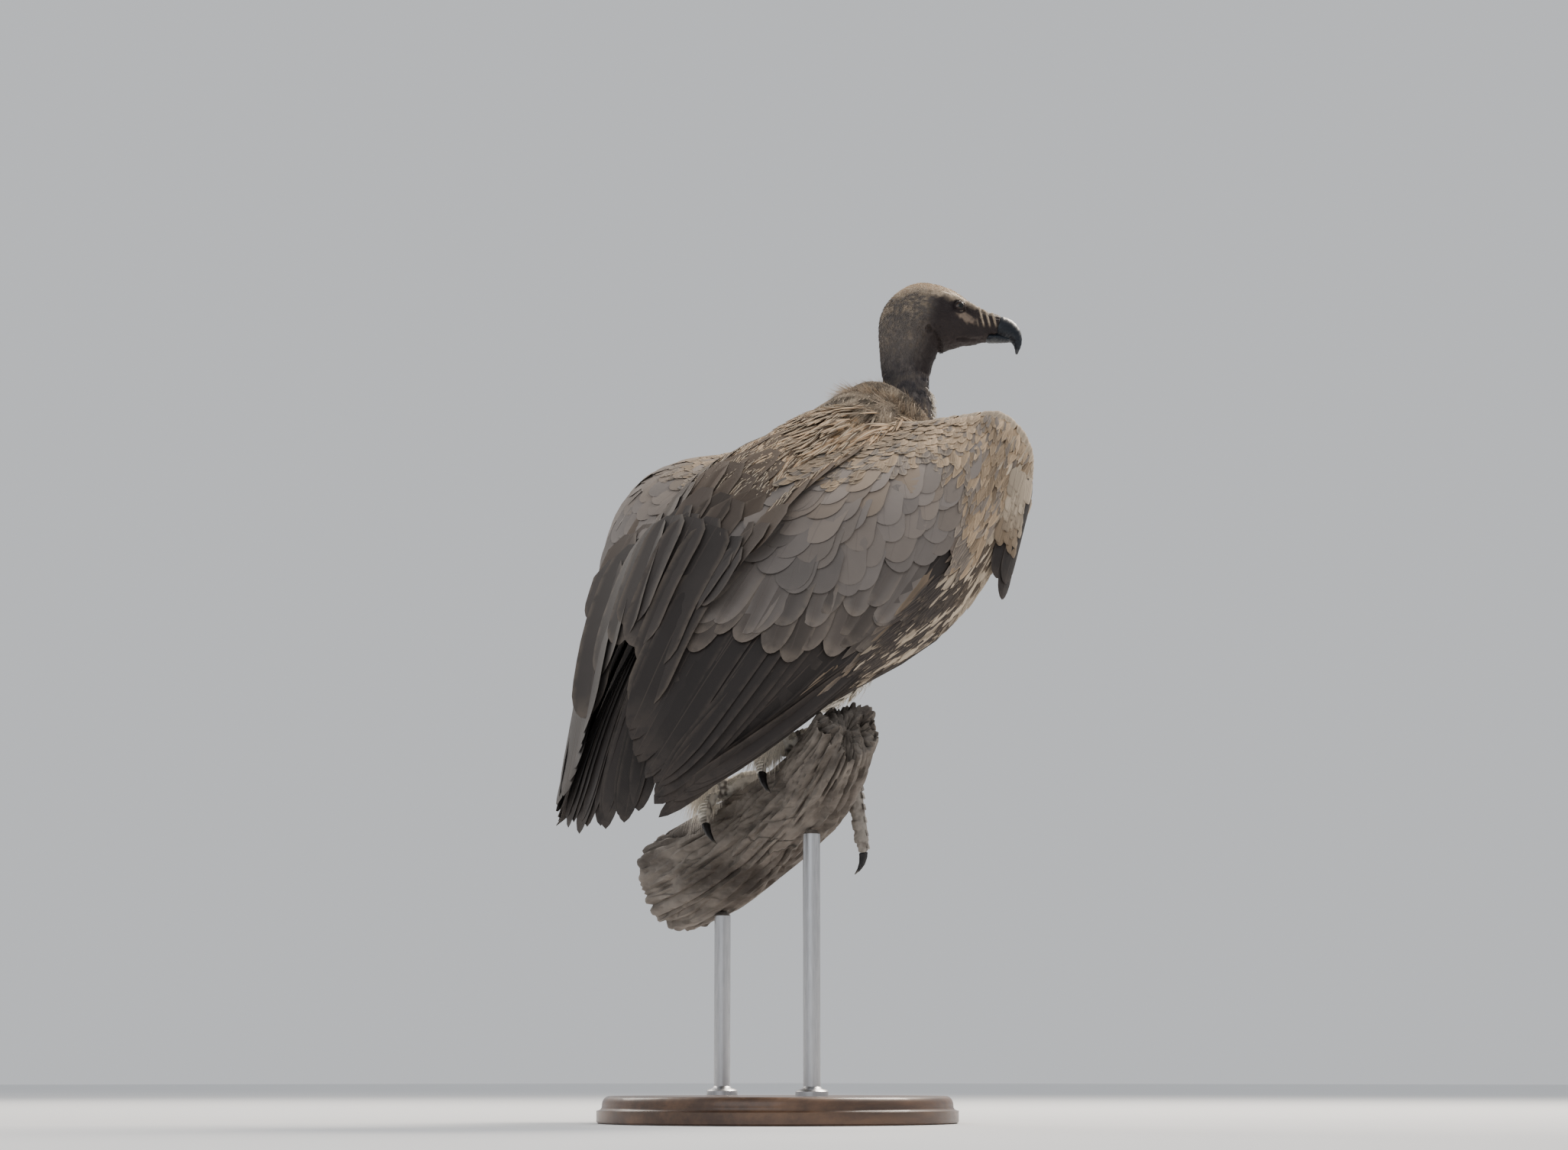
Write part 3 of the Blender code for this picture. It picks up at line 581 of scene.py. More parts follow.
class Look:
    """One material's nodes, with a short name for each kind of node used here."""

    def __init__(self, name):
        self.material = bpy.data.materials.new(name)
        self.material.use_nodes = True
        self.tree = self.material.node_tree
        self.shader = self.tree.nodes["Principled BSDF"]

    def feed(self, node, inputs):
        """Sets or links a node's inputs."""
        for key, value in inputs.items():
            if isinstance(value, bpy.types.NodeSocket):
                self.tree.links.new(value, node.inputs[key])
            else:
                node.inputs[key].default_value = value

    def put(self, kind, inputs=None, output=0, **settings):
        """Adds a node and returns one of its outputs."""
        made = self.tree.nodes.new(kind)
        for key, value in settings.items():
            setattr(made, key, value)
        self.feed(made, inputs or {})
        return made.outputs[output]

    def calc(self, operation, *values):
        return self.put("ShaderNodeMath", dict(enumerate(values)), operation=operation)

    def times(self, one, two):
        return self.calc("MULTIPLY", one, two)

    def scaled(self, value, factor, added):
        """value times factor, plus added."""
        return self.calc("MULTIPLY_ADD", value, factor, added)

    def fade(self, value, low, high):
        """0 below low, 1 above high, smooth between."""
        limits = {0: value, 1: low, 2: high, 3: 0.0, 4: 1.0}
        return self.put("ShaderNodeMapRange", limits, interpolation_type="SMOOTHSTEP")

    def beyond(self, value, low, high):
        """1 below low, 0 above high, smooth between."""
        return self.calc("SUBTRACT", 1.0, self.fade(value, low, high))

    def blend(self, factor, one, two, mode="MIX"):
        one, two = (c if isinstance(c, bpy.types.NodeSocket) else (*c, 1.0) for c in (one, two))
        inputs = {0: factor, 6: one, 7: two}
        return self.put("ShaderNodeMix", inputs, 2, data_type="RGBA", blend_type=mode)

    def value(self, name):
        return self.put("ShaderNodeAttribute", None, "Fac", attribute_name=name)

    def tint(self):
        return self.put("ShaderNodeAttribute", None, "Color", attribute_name="tint")

    def place(self):
        """The point's place in the object's own space."""
        return self.put("ShaderNodeTexCoord", None, "Object")

    def cloud(self, scale, detail=3.0, rough=0.55, stretch=None):
        """Noise in the object's own space."""
        place = self.place()
        if stretch:
            place = self.put("ShaderNodeMapping", {0: place, 3: stretch})
        inputs = {"Vector": place, "Scale": scale, "Detail": detail, "Roughness": rough}
        return self.put("ShaderNodeTexNoise", inputs)

    def brighten(self, colour, amount):
        """colour times a number."""
        grey = self.put("ShaderNodeCombineColor", {0: amount, 1: amount, 2: amount})
        return self.blend(1.0, colour, grey, "MULTIPLY")

    def finish(self, inputs, height=None, distance=0.0, strength=1.0):
        """Sets the shader, raises its surface by height, and returns the material."""
        self.feed(self.shader, inputs)
        if height is not None:
            bump = self.put("ShaderNodeBump", {"Strength": strength, "Distance": distance, "Height": height})
            self.feed(self.shader, {"Normal": bump})
        return self.material


# Kinds of vane: strength and tint of the fringe, strength and tint of the shaft, the shaft's
# width, mottling, roughness, and for some where the fringe starts and a dark centre.
VANE_LOOKS = {
    "flight": (0.28, (0.105, 0.082, 0.066), 0.5, (0.07, 0.055, 0.045), 0.05, 0.25, 0.62),
    "great": (0.42, (0.22, 0.18, 0.145), 0.3, (0.10, 0.08, 0.07), 0.05, 0.35, 0.74,
              0.60, 0.35, (0.040, 0.032, 0.028)),
    "median": (0.08, (0.25, 0.215, 0.185), 0.25, (0.12, 0.10, 0.09), 0.05, 0.30, 0.80),
    "lesser": (0.34, (0.58, 0.46, 0.33), 0.25, (0.60, 0.48, 0.34), 0.10, 0.4, 0.82,
               0.55, 0.35, (0.11, 0.085, 0.065)),
    "hand": (0.22, (0.46, 0.36, 0.26), 0.15, (0.40, 0.32, 0.24), 0.12, 0.4, 0.82),
    "scapular": (0.42, (0.17, 0.135, 0.105), 0.3, (0.09, 0.07, 0.06), 0.05, 0.3, 0.70, 0.72),
    "mantle": (0.25, (0.46, 0.33, 0.21), 0.80, (0.76, 0.63, 0.45), 0.26, 0.4, 0.85,
               0.60, 0.4, (0.17, 0.115, 0.075)),
    "tail": (0.30, (0.10, 0.08, 0.065), 0.5, (0.07, 0.055, 0.045), 0.05, 0.25, 0.62),
    "vent": (0.4, (0.55, 0.49, 0.41), 0.3, (0.5, 0.44, 0.36), 0.1, 0.3, 0.85),
    "breast": (0.35, (0.34, 0.27, 0.20), 0.60, (0.47, 0.37, 0.275), 0.11, 0.4, 0.85,
               0.6, 0.2, (0.09, 0.065, 0.05)),
    "trousers": (0.3, (0.80, 0.76, 0.68), 0.3, (0.70, 0.64, 0.55), 0.1, 0.25, 0.88),
    "ruff": (0.3, (0.70, 0.58, 0.42), 0.4, (0.70, 0.58, 0.42), 0.12, 0.45, 0.88),
}


def feather_material(kind):
    """A vane: tint, a darker centre, a pale fringe and shaft, and barbs that run out and forward."""
    fringe, fringe_tint, shaft, shaft_tint, shaft_width, mottle, rough, *rest = VANE_LOOKS[kind]
    fringe_from, centre, centre_tint = (*rest, *(0.70, 0.0, (0.05, 0.04, 0.03))[len(rest):])
    look = Look("feather_" + kind)
    along = look.value("along")
    across = look.calc("ABSOLUTE", look.value("across"))
    speckle = look.cloud(90.0, 4.0)
    edge = look.calc("MAXIMUM", look.fade(across, fringe_from, 1.0), look.fade(along, 0.84, 0.99))
    edge = look.times(edge, look.fade(speckle, 0.25, 0.6))
    quill = look.beyond(across, shaft_width * 0.4, shaft_width)
    inner = look.times(look.beyond(across, 0.15, 0.65), look.fade(along, 0.25, 0.6))
    colour = look.blend(look.times(inner, centre), look.tint(), centre_tint)
    tone = look.scaled(look.value("tone"), mottle, 1.0 - mottle * 0.5)
    patch = look.scaled(look.cloud(25.0), mottle, 1.0 - mottle * 0.5)
    colour = look.brighten(colour, look.times(tone, patch))
    colour = look.blend(look.times(edge, fringe), colour, fringe_tint)
    colour = look.blend(look.times(quill, shaft), colour, shaft_tint)
    line = look.scaled(across, -0.008, look.value("span"))
    line = look.calc("ADD", line, look.times(speckle, 0.0022))
    barb = look.calc("SINE", look.times(line, TAU / BARB_PITCH))
    colour = look.brighten(colour, look.scaled(barb, 0.035, 1.0))
    height = look.calc("ADD", look.times(barb, 0.35), look.times(quill, 1.2))
    return look.finish({
        "Base Color": colour, "Roughness": rough, "Specular IOR Level": 0.22, "Sheen Weight": 0.05,
    }, height, 0.0002, 0.35)


def down_material(kind, rough=0.92, sheen=0.25, root_dark=0.55):
    look = Look("down_" + kind)
    along = look.scaled(look.value("along"), 1.0 - root_dark, root_dark)
    tone = look.scaled(look.value("tone"), 0.5, 0.75)
    patch = look.scaled(look.cloud(45.0), 0.5, 0.75)
    colour = look.brighten(look.tint(), look.times(look.times(along, tone), patch))
    return look.finish({
        "Base Color": colour, "Roughness": rough, "Specular IOR Level": 0.2, "Sheen Weight": sheen,
    })


def skin_material():
    look = Look("skin")
    fine = look.cloud(420.0, 4.0, 0.6)
    broad = look.cloud(60.0, 3.0)
    pores = look.put("ShaderNodeTexVoronoi", {"Vector": look.place(), "Scale": 520.0})
    amount = look.times(look.scaled(broad, 0.5, 0.75), look.scaled(fine, 0.5, 0.75))
    return look.finish({
        "Base Color": look.brighten(look.tint(), amount), "Roughness": look.scaled(fine, 0.25, 0.55),
        "Specular IOR Level": 0.16,
    }, look.calc("ADD", look.times(pores, 0.7), fine), 0.0005, 0.5)


def horn_material(name, tint, pale, gloss=0.32):
    """Bill and claws: long growth lines, small scratches and a paler worn edge."""
    look = Look(name)
    streak = look.cloud(60.0, 5.0, 0.6, (1.0, 1.0, 5.0))
    scratch = look.fade(look.cloud(300.0, 2.0, 0.5, (1.0, 1.0, 0.2)), 0.60, 0.75)
    worn = look.times(look.fade(look.value("wear"), 0.3, 1.0), 0.8)
    colour = look.blend(look.calc("MAXIMUM", worn, look.times(scratch, 0.25)), tint, pale)
    return look.finish({
        "Base Color": look.brighten(colour, look.scaled(streak, 1.2, 0.4)),
        "Roughness": look.scaled(streak, 0.35, gloss - 0.1), "Coat Weight": 0.04, "Specular IOR Level": 0.24,
    }, look.calc("ADD", streak, scratch), 0.0004, 0.25)


def wood_material(name, tint, pale, stretch, rough=0.6, cracks=0.0, gloss=0.0):
    look = Look(name)
    grain = look.cloud(22.0, 6.0, 0.65, stretch)
    fine = look.cloud(120.0, 4.0, 0.6, stretch)
    broad = look.cloud(9.0, 3.0)
    colour = look.blend(look.fade(grain, 0.35, 0.65), tint, pale)
    colour = look.brighten(colour, look.scaled(fine, 0.7, 0.62))
    colour = look.brighten(colour, look.scaled(broad, 0.6, 0.70))
    seam = look.cloud(34.0, 1.5, 0.5, tuple(v * (0.35 if v < 0.9 else 1.0) for v in stretch))
    split = look.beyond(look.calc("ABSOLUTE", look.calc("SUBTRACT", seam, 0.5)), 0.0, 0.022)
    split = look.times(split, look.times(look.fade(broad, 0.40, 0.60), cracks))
    height = look.calc("SUBTRACT", look.scaled(fine, 0.5, grain), split)
    return look.finish({
        "Base Color": look.blend(split, colour, (0.03, 0.025, 0.02)),
        "Roughness": look.scaled(fine, 0.25, rough - 0.12), "Coat Weight": gloss,
    }, height, 0.0012 if cracks else 0.0002, 0.7)


def steel_material():
    look = Look("brushed_steel")
    brushed = look.cloud(60.0, 5.0, 0.6, (12.0, 12.0, 1.0))
    return look.finish({
        "Base Color": look.blend(brushed, (0.34, 0.34, 0.35), (0.60, 0.60, 0.61)),
        "Roughness": look.scaled(brushed, 0.3, 0.2), "Metallic": 1.0,
    }, brushed, 0.0001, 0.3)


def eye_material():
    """Dark brown iris round a black pupil, under a clear wet cornea."""
    look = Look("eye")
    off = look.value("off_axis")
    ring = look.put("ShaderNodeTexNoise", {"Vector": look.place(), "Scale": 900.0, "Detail": 3.0})
    iris = look.blend(ring, (0.016, 0.008, 0.004), (0.055, 0.026, 0.011))
    colour = look.blend(look.fade(off, 0.34, 0.40), (0.002, 0.002, 0.002), iris)
    return look.finish({
        "Base Color": look.blend(look.fade(off, 0.70, 0.82), colour, (0.012, 0.009, 0.008)),
        "Roughness": 0.10, "Specular IOR Level": 0.30, "Coat Weight": 0.20, "Coat Roughness": 0.02,
    })


# ---- markings, shared by the skin and its coat ----

BUFF = np.array((0.50, 0.395, 0.285))
GREY_BROWN = np.array((0.175, 0.150, 0.135))
FACE_DARK = np.array((0.024, 0.018, 0.018))
NECK_DARK = np.array((0.042, 0.038, 0.042))
BODY_SKIN = np.array((0.090, 0.070, 0.058))
FOOT_DARK = np.array((0.150, 0.130, 0.115))
# Pale of the dusty scales, lightened further as painted sunlight on legs and toes.
DUST_AND_SUNLIT_PALE = np.array((0.68, 0.64, 0.57))
EYE_PATCH = np.array((0.27, 0.205, 0.155))


def mix(one, two, weight):
    weight = np.asarray(weight, float)[..., None]
    return one * (1.0 - weight) + two * weight


def noise_at(points, scale, shift=0.0):
    """Smooth noise in about -1 to 1 at each point."""
    offset = Vector((shift, shift * 0.7, -shift))
    flat = np.asarray(points).reshape(-1, 3)
    values = [noise.noise(Vector(p) * scale + offset) for p in flat.tolist()]
    return np.array(values).reshape(np.asarray(points).shape[:-1])


def brow_line(x):
    """Height at which the pale crown ends, for a place ahead of the head's centre."""
    return 0.041 - 0.27 * np.maximum(x - 0.012, 0.0)


def head_tint(points):
    """Pale crown and nape, dark face, a paler patch under the eye and pale folds at the cere."""
    x, y, _ = head_frame(points)
    mottle = noise_at(points, 260.0)
    coarse = noise_at(points, 70.0, 5.0)
    crown = smoothstep(-0.006, 0.006, y - brow_line(x) + 0.003 * mottle)
    crown = np.maximum(crown, smoothstep(0.034, 0.046, y - 0.15 * x + 0.004 * coarse))
    spots = smoothstep(-0.25, 0.80, mottle + coarse * 0.6) * (0.35 + 0.65 * smoothstep(-0.005, 0.030, y))
    back = mix(GREY_BROWN * 0.66, BUFF * 0.55, spots)
    back = mix(back, neck_tint(points), smoothstep(-0.015, -0.048, y))
    face = smoothstep(0.004, 0.026, x - 0.25 * (y - 0.01) + 0.004 * mottle)
    colour = mix(back, FACE_DARK, face * 0.95)
    patch = np.hypot((x - 0.0545) / 0.0105, (y - 0.0140 + 0.42 * (x - 0.0545)) / 0.0052) + 0.55 * mottle
    colour = mix(colour, EYE_PATCH, smoothstep(1.35, 0.45, patch) * 0.75)
    colour = mix(colour, BUFF * 0.85, np.clip(cere_folds(x, y) * 1.1, 0, 1))
    colour = mix(colour, BUFF * 1.08, crown)
    lids = np.hypot(x - EYE_PLACE[0], y - EYE_PLACE[1]) / EYE_RADIUS
    return mix(colour, FACE_DARK * 0.9, smoothstep(1.15, 0.85, lids))


def cere_folds(x, y):
    """1 on the crests of the three folds between forehead and bill, 0 between them."""
    window = smoothstep(0.066, 0.070, x) * (1 - smoothstep(0.0865, 0.0895, x)) * smoothstep(0.003, 0.010, y)
    crest = 0.5 + 0.5 * np.cos((x - 0.0715 + 0.22 * (y - 0.018)) / 0.0062 * TAU)
    return window * crest ** 4


def neck_tint(points):
    mottle = noise_at(points, 130.0, 3.0)
    fine = noise_at(points, 360.0, 8.0)
    return mix(NECK_DARK * 1.25, GREY_BROWN * 0.90, smoothstep(-0.60, 0.80, 0.6 * mottle + 0.9 * fine))


def foot_dust_and_painted_sun(points):
    """Pale dust on the legs and toes, made paler still as painted sunlight; less of it on the hanging toe."""
    pale_amount = smoothstep(-0.62, -0.08, noise_at(points, 80.0, 4.0) + 0.5 * noise_at(points, 260.0, 1.0))
    return pale_amount * (1.0 - 0.75 * hanging(points))


# ---- the skin ----

COAT_DEPTH = {
    "head": 0.0007, "neck": 0.0012, "ruff": 0.0125, "trunk": 0.0050, "shoulder_left": 0.0050,
    "shoulder_right": 0.0050, "thigh_left": 0.0080, "thigh_right": 0.0080, "tarsus_left": 0.0,
    "tarsus_right": 0.0, "foot_left": 0.0, "foot_right": 0.0,
}
SKIN_VOXEL = 0.0024
FEET_TOP = 0.405
CLAW_VOXEL = 0.00045
# The trunk's skin is sunk round this place and its mirror image, beside the ruff.
RUFF_EDGE = (0.048, 0.046, 0.670)


def wing_arm(side):
    """Closed slab of the wing's own flesh, under the coverts on both sides."""
    rows, columns = 24, 12
    s, t = np.meshgrid(np.linspace(0.05, 0.96, rows), np.linspace(0.02, 0.40, columns), indexing="ij")
    surface = WINGS[side]
    normal = surface.normal(s, t)
    thick = np.maximum(wing_thickness(s, t) - 0.0075, 0.003)[..., None]
    top = surface.place(s, t) - normal * (0.0045 + 0.009 * smoothstep(0.25, 0.05, s))[..., None]
    low = top - normal * thick
    bm = bmesh.new()
    upper, lower = ([[bm.verts.new(p) for p in line] for line in sheet.tolist()] for sheet in (top, low))
    for sheet, flip in ((upper, 1), (lower, -1)):
        for i in range(rows - 1):
            for j in range(columns - 1):
                ring = (sheet[i][j], sheet[i + 1][j], sheet[i + 1][j + 1], sheet[i][j + 1])
                bm.faces.new(ring[::flip])
    rim = [(i, 0) for i in range(rows - 1)] + [(rows - 1, j) for j in range(columns - 1)]
    rim += [(i, columns - 1) for i in range(rows - 1, 0, -1)] + [(0, j) for j in range(columns - 1, 0, -1)]
    for (i, j), (m, n) in zip(rim, rim[1:] + rim[:1]):
        bm.faces.new((upper[i][j], lower[i][j], lower[m][n], upper[m][n]))
    bmesh.ops.recalc_face_normals(bm, faces=bm.faces)
    return bm


def rings_of(surface, start, rings, sides):
    """Points (rings, sides, 3) of a surface from b = start to 1, with each point's a and b."""
    b, a = np.meshgrid(np.linspace(start, 1.0, rings), np.arange(sides) / sides, indexing="ij")
    return surface.place(a, b), a, b


def joined_flesh():
    """All the flesh as one mesh and its search tree, each face's solid, and a tree of the head."""
    bm = bmesh.new()
    owners = []

    def take(mesh, owner):
        before = len(bm.faces)
        bm.from_mesh(mesh)
        owners.extend([owner] * (len(bm.faces) - before))

    for name in COAT_DEPTH:
        if name != "head":
            take(NODES[name].data, name)
    vertices, faces = capped_grid(rings_of(HEAD, 0.0, 60, 56)[0])
    faces = [tuple(f) for part in faces for f in part.tolist()]
    fine_head = bpy.data.meshes.new("fine_head")
    fine_head.from_pydata(vertices.tolist(), [], faces)
    take(fine_head, "head")
    for _, side in SIDES:
        arm = wing_arm(side)
        mesh = bpy.data.meshes.new("arm")
        arm.to_mesh(mesh)
        arm.free()
        take(mesh, "arm")
        bpy.data.meshes.remove(mesh)
    bmesh.ops.recalc_face_normals(bm, faces=bm.faces)
    tree = BVHTree.FromBMesh(bm)
    joined = bpy.data.meshes.new("flesh")
    bm.to_mesh(joined)
    bm.free()
    return joined, tree, owners, BVHTree.FromPolygons(vertices.tolist(), faces)


def refine(mesh, chosen):
    """Splits the faces whose middle is chosen."""
    bm = bmesh.new()
    bm.from_mesh(mesh)
    picked = chosen(np.array([f.calc_center_median() for f in bm.faces]))
    faces = [f for f, take in zip(bm.faces, picked) if take]
    edges = list({e for f in faces for e in f.edges})
    bmesh.ops.subdivide_edges(bm, edges=edges, cuts=1, use_grid_fill=True, smooth=0.0)
    bm.to_mesh(mesh)
    bm.free()


def neighbour_means(mesh, values, rounds, weight=0.5):
    """Values at the vertices, smoothed over the mesh."""
    edges = np.zeros(len(mesh.edges) * 2, dtype=np.int64)
    mesh.edges.foreach_get("vertices", edges)
    edges = edges.reshape(-1, 2)
    count = np.bincount(edges.ravel(), minlength=len(mesh.vertices))
    count = np.maximum(count, 1).reshape((-1,) + (1,) * (values.ndim - 1))
    for _ in range(rounds):
        total = np.zeros_like(values)
        np.add.at(total, edges[:, 0], values[edges[:, 1]])
        np.add.at(total, edges[:, 1], values[edges[:, 0]])
        values = values * (1 - weight) + total / count * weight
    return values


def remeshed(mesh, name, voxel, rounds):
    """The mesh rebuilt from voxels and smoothed."""
    obj = link(name, mesh)
    rebuild = obj.modifiers.new("rebuild", "REMESH")
    rebuild.mode = "VOXEL"
    rebuild.voxel_size = voxel
    smooth = obj.modifiers.new("smooth", "SMOOTH")
    smooth.factor = 0.5
    smooth.iterations = rounds
    graph = bpy.context.evaluated_depsgraph_get()
    made = bpy.data.meshes.new_from_object(obj.evaluated_get(graph))
    bpy.data.objects.remove(obj, do_unlink=True)
    return made


def vectors_of(mesh, key):
    """Every vertex's place, for "co", or its normal, for "normal"."""
    flat = np.zeros(len(mesh.vertices) * 3)
    mesh.vertices.foreach_get(key, flat)
    return flat.reshape(-1, 3)


def move_to(mesh, points):
    mesh.vertices.foreach_set("co", points.ravel())
    mesh.update()


def eye_axis(hand):
    return unit(HEAD_SIDE * hand * 0.94 + HEAD_AHEAD * 0.28 + UP * 0.06)


def eye_centre(hand):
    return head_point(EYE_PLACE[0], EYE_PLACE[1], hand * EYE_PLACE[2])


def segment_distance(x, y, start, end):
    start = np.array(start)
    end = np.array(end)
    step = end - start
    along = np.clip(((x - start[0]) * step[0] + (y - start[1]) * step[1]) / (step @ step), 0.0, 1.0)
    return np.hypot(x - start[0] - along * step[0], y - start[1] - along * step[1])


def sculpt_head(points, normals):
    """Brow, orbit, lids, cheek, gape, nostril, ear, cere folds and fine wrinkles."""
    x, y, z = head_frame(points)
    flank = smoothstep(0.004, 0.010, np.abs(z))
    face = smoothstep(0.012, 0.034, x)
    rise = 0.0016 * bell(segment_distance(x, y, (0.034, 0.0365), (0.069, 0.0262)), 0.0, 0.0036) * flank
    rise -= 0.0016 * bell(segment_distance(x, y, (0.041, 0.0285), (0.058, 0.0240)), 0.0, 0.0035) * flank
    rise -= 0.0014 * bell(segment_distance(x, y, (0.058, 0.018), (0.069, 0.016)), 0.0, 0.0055) * flank
    rise += 0.0012 * bell(np.hypot(x - 0.044, y - 0.001), 0.0, 0.012) * flank
    rise += 0.0009 * (cere_folds(x, y) - 0.25 * smoothstep(0.068, 0.074, x) * smoothstep(0.0, 0.008, y))
    jaw = smoothstep(0.050, 0.064, x) * (1.0 - smoothstep(0.0765, 0.0815, x)) * smoothstep(0.003, -0.004, y)
    rise += 0.0034 * jaw + 0.0015 * smoothstep(0.079, 0.086, x) * smoothstep(-0.003, 0.001, y)
    gape = segment_distance(x, y, (0.0465, -0.0085), (0.0905, -0.0018))
    rise -= 0.0016 * bell(gape, 0.0, 0.0010) * flank
    rise += 0.0007 * bell(gape, 0.0026, 0.0014) * flank
    nostril = np.hypot((x - 0.0850 + 0.25 * (y - 0.009)) / 0.0011, (y - 0.0095) / 0.0034)
    rise -= 0.0022 * bell(nostril, 0.0, 1.0) * flank
    rise += 0.0005 * bell(nostril, 1.7, 0.6) * flank
    ear = np.hypot((x - 0.0160) / 0.8, y + 0.001)
    rise += (0.0009 * bell(ear, 0.0052, 0.0018) - 0.0024 * bell(ear, 0.0, 0.0030)) * flank
    crease = np.abs(noise_at(points, 150.0, 2.0)) - 0.25
    fine = np.abs(noise_at(points * (1.0, 1.0, 1.8), 330.0, 6.0)) - 0.25
    rise += (0.0011 * crease + 0.0006 * fine) * (0.35 + 0.65 * face)
    points = points + normals * rise[:, None]
    for hand, _ in SIDES:
        points = open_lids(points, hand)
    return points


def open_lids(points, hand):
    """Draws the skin over the eyeball as two lids, and back behind it within the opening."""
    centre = eye_centre(hand)
    away = points - centre
    distance = np.linalg.norm(away, axis=1)
    out = away / np.maximum(distance, 1e-9)[:, None]
    axis = eye_axis(hand)
    level = unit(HEAD_AHEAD - axis * (HEAD_AHEAD @ axis))
    above = np.cross(axis, level) * hand
    across = out @ level
    height = out @ above
    height = height * np.where(height > 0.0, 1.65, 1.40) + 0.16 * across
    opening = np.sqrt(across ** 2 + height ** 2)
    front = (out @ axis) > 0.0
    near = (distance < EYE_RADIUS * 2.0) & front
    inside = smoothstep(0.63, 0.56, opening)
    rim = EYE_RADIUS + 0.0004 + 0.0004 * bell(opening, 0.70, 0.06) - 0.0003 * bell(opening, 0.92, 0.05)
    lid = smoothstep(1.25, 0.95, opening)
    target = distance + (np.maximum(rim, 0.0) - distance) * lid
    target = target * (1 - inside) + (EYE_RADIUS - 0.0016) * inside
    return np.where(near[:, None], centre + out * target[:, None], points)


def make_skin():
    """One skin over all the flesh, inside the solids by the depth of the coat that lies on it."""
    joined, tree, owners, head_tree = joined_flesh()
    mesh = remeshed(joined, "flesh", SKIN_VOXEL, 6)

    def on_head(p):
        x, y, _ = head_frame(p)
        return (y > -0.052) & (np.hypot(x - 0.03, y) < 0.09)

    def on_face(p):
        x, y, _ = head_frame(p)
        return on_head(p) & (x > 0.010) & (y > -0.030)

    def on_foot(p):
        return p[:, 2] < FEET_TOP

    for chosen in (on_head, on_face, on_foot):
        refine(mesh, chosen)
    points = vectors_of(mesh, "co")
    owner = []
    snapped = points.copy()
    for i, p in enumerate(points.tolist()):
        name = owners[tree.find_nearest(p)[2]]
        owner.append(name)
        if name == "head":
            snapped[i] = head_tree.find_nearest(p)[0]
        elif name.startswith(("foot", "tarsus")):
            snapped[i] = tree.find_nearest(p)[0]
    owner = np.array(owner)

    def share(part, rounds):
        """1 on the vertices of the solids so named, 0 elsewhere, smooth between."""
        return neighbour_means(mesh, np.char.startswith(owner, part).astype(float), rounds)

    is_head = share("head", 6)
    foot = np.char.startswith(owner, "foot") | np.char.startswith(owner, "tarsus")
    foot = neighbour_means(mesh, foot.astype(float), 3)
    held = np.maximum(smoothstep(0.55, 0.95, is_head), smoothstep(0.5, 0.95, foot))
    move = (snapped - points) * held[:, None]
    points = points + np.where((foot > 0.5)[:, None], neighbour_means(mesh, move, 2), move)
    move_to(mesh, points)
    depth = np.array([COAT_DEPTH.get(name, 0.0) for name in owner])
    thigh = np.char.startswith(owner, "thigh")
    depth = np.where(thigh, depth * smoothstep(0.33, 0.42, points[:, 2]), depth)
    depth = np.where(owner == "trunk", depth + 0.020 * smoothstep(-0.09, -0.15, points[:, 0]), depth)
    beside = np.linalg.norm(np.abs(points) - RUFF_EDGE, axis=1)
    depth = np.where(owner == "trunk", depth + 0.012 * smoothstep(0.034, 0.012, beside), depth)
    depth = neighbour_means(mesh, depth, 12)
    points = points - vectors_of(mesh, "normal") * depth[:, None]
    move_to(mesh, points)
    sculpted = sculpt_head(points, vectors_of(mesh, "normal"))
    points = mix(points, sculpted, smoothstep(0.3, 0.7, is_head))
    points = shape_toes(points, foot > 0.3)
    move_to(mesh, points)
    tint = np.tile(BODY_SKIN, (len(points), 1))
    for part, colour in (("trunk", BREAST_BROWN), ("shoulder", BREAST_BROWN), ("thigh", LEG_WHITE * 0.75),
                         ("ruff", BUFF * 0.7), ("arm", WING_PALE * 0.70)):
        tint = mix(tint, colour, share(part, 6))
    rear = smoothstep(-0.02, -0.09, points[:, 0]) * smoothstep(0.53, 0.48, points[:, 2])
    tint = mix(tint, LEG_WHITE * 0.6, rear * 0.8)
    tint = mix(tint, neck_tint(points), share("neck", 4))
    # Legs and toes: dark skin with pale dust and painted sunlight.
    tint = mix(tint, mix(FOOT_DARK, DUST_AND_SUNLIT_PALE, foot_dust_and_painted_sun(points) * 0.85), foot)
    tint = mix(tint, head_tint(points), is_head)
    set_tint(mesh, tint)
    skin = dressed("skin", mesh, skin_material())
    declare(skin, "skin_dark", [*COAT_DEPTH, "wing_coverts_left", "wing_coverts_right"])


# ---- eyes, bill and claws ----

def make_eyes():
    material = eye_material()
    rings, sides = 40, 48
    polar = np.linspace(0.02, math.pi - 0.02, rings)
    polar, turn = np.meshgrid(polar, np.arange(sides) / sides * TAU, indexing="ij")
    swell = EYE_RADIUS * (1.0 + 0.06 * bell(polar, 0.0, 0.5))
    for hand, side in SIDES:
        axis = eye_axis(hand)
        level = unit(np.cross(UP, axis))
        rise = np.cross(axis, level)
        ring = level * (np.sin(polar) * np.cos(turn))[..., None]
        ring = ring + rise * (np.sin(polar) * np.sin(turn))[..., None]
        points = eye_centre(hand) + (axis * np.cos(polar)[..., None] + ring) * swell[..., None]
        vertices, faces = capped_grid(points)
        off = np.concatenate([polar.ravel(), [0.0, math.pi]])
        eye = mesh_object("eyeball_" + side, vertices, faces, material, {"off_axis": off})
        declare(eye, "eye", ["eye_" + side])


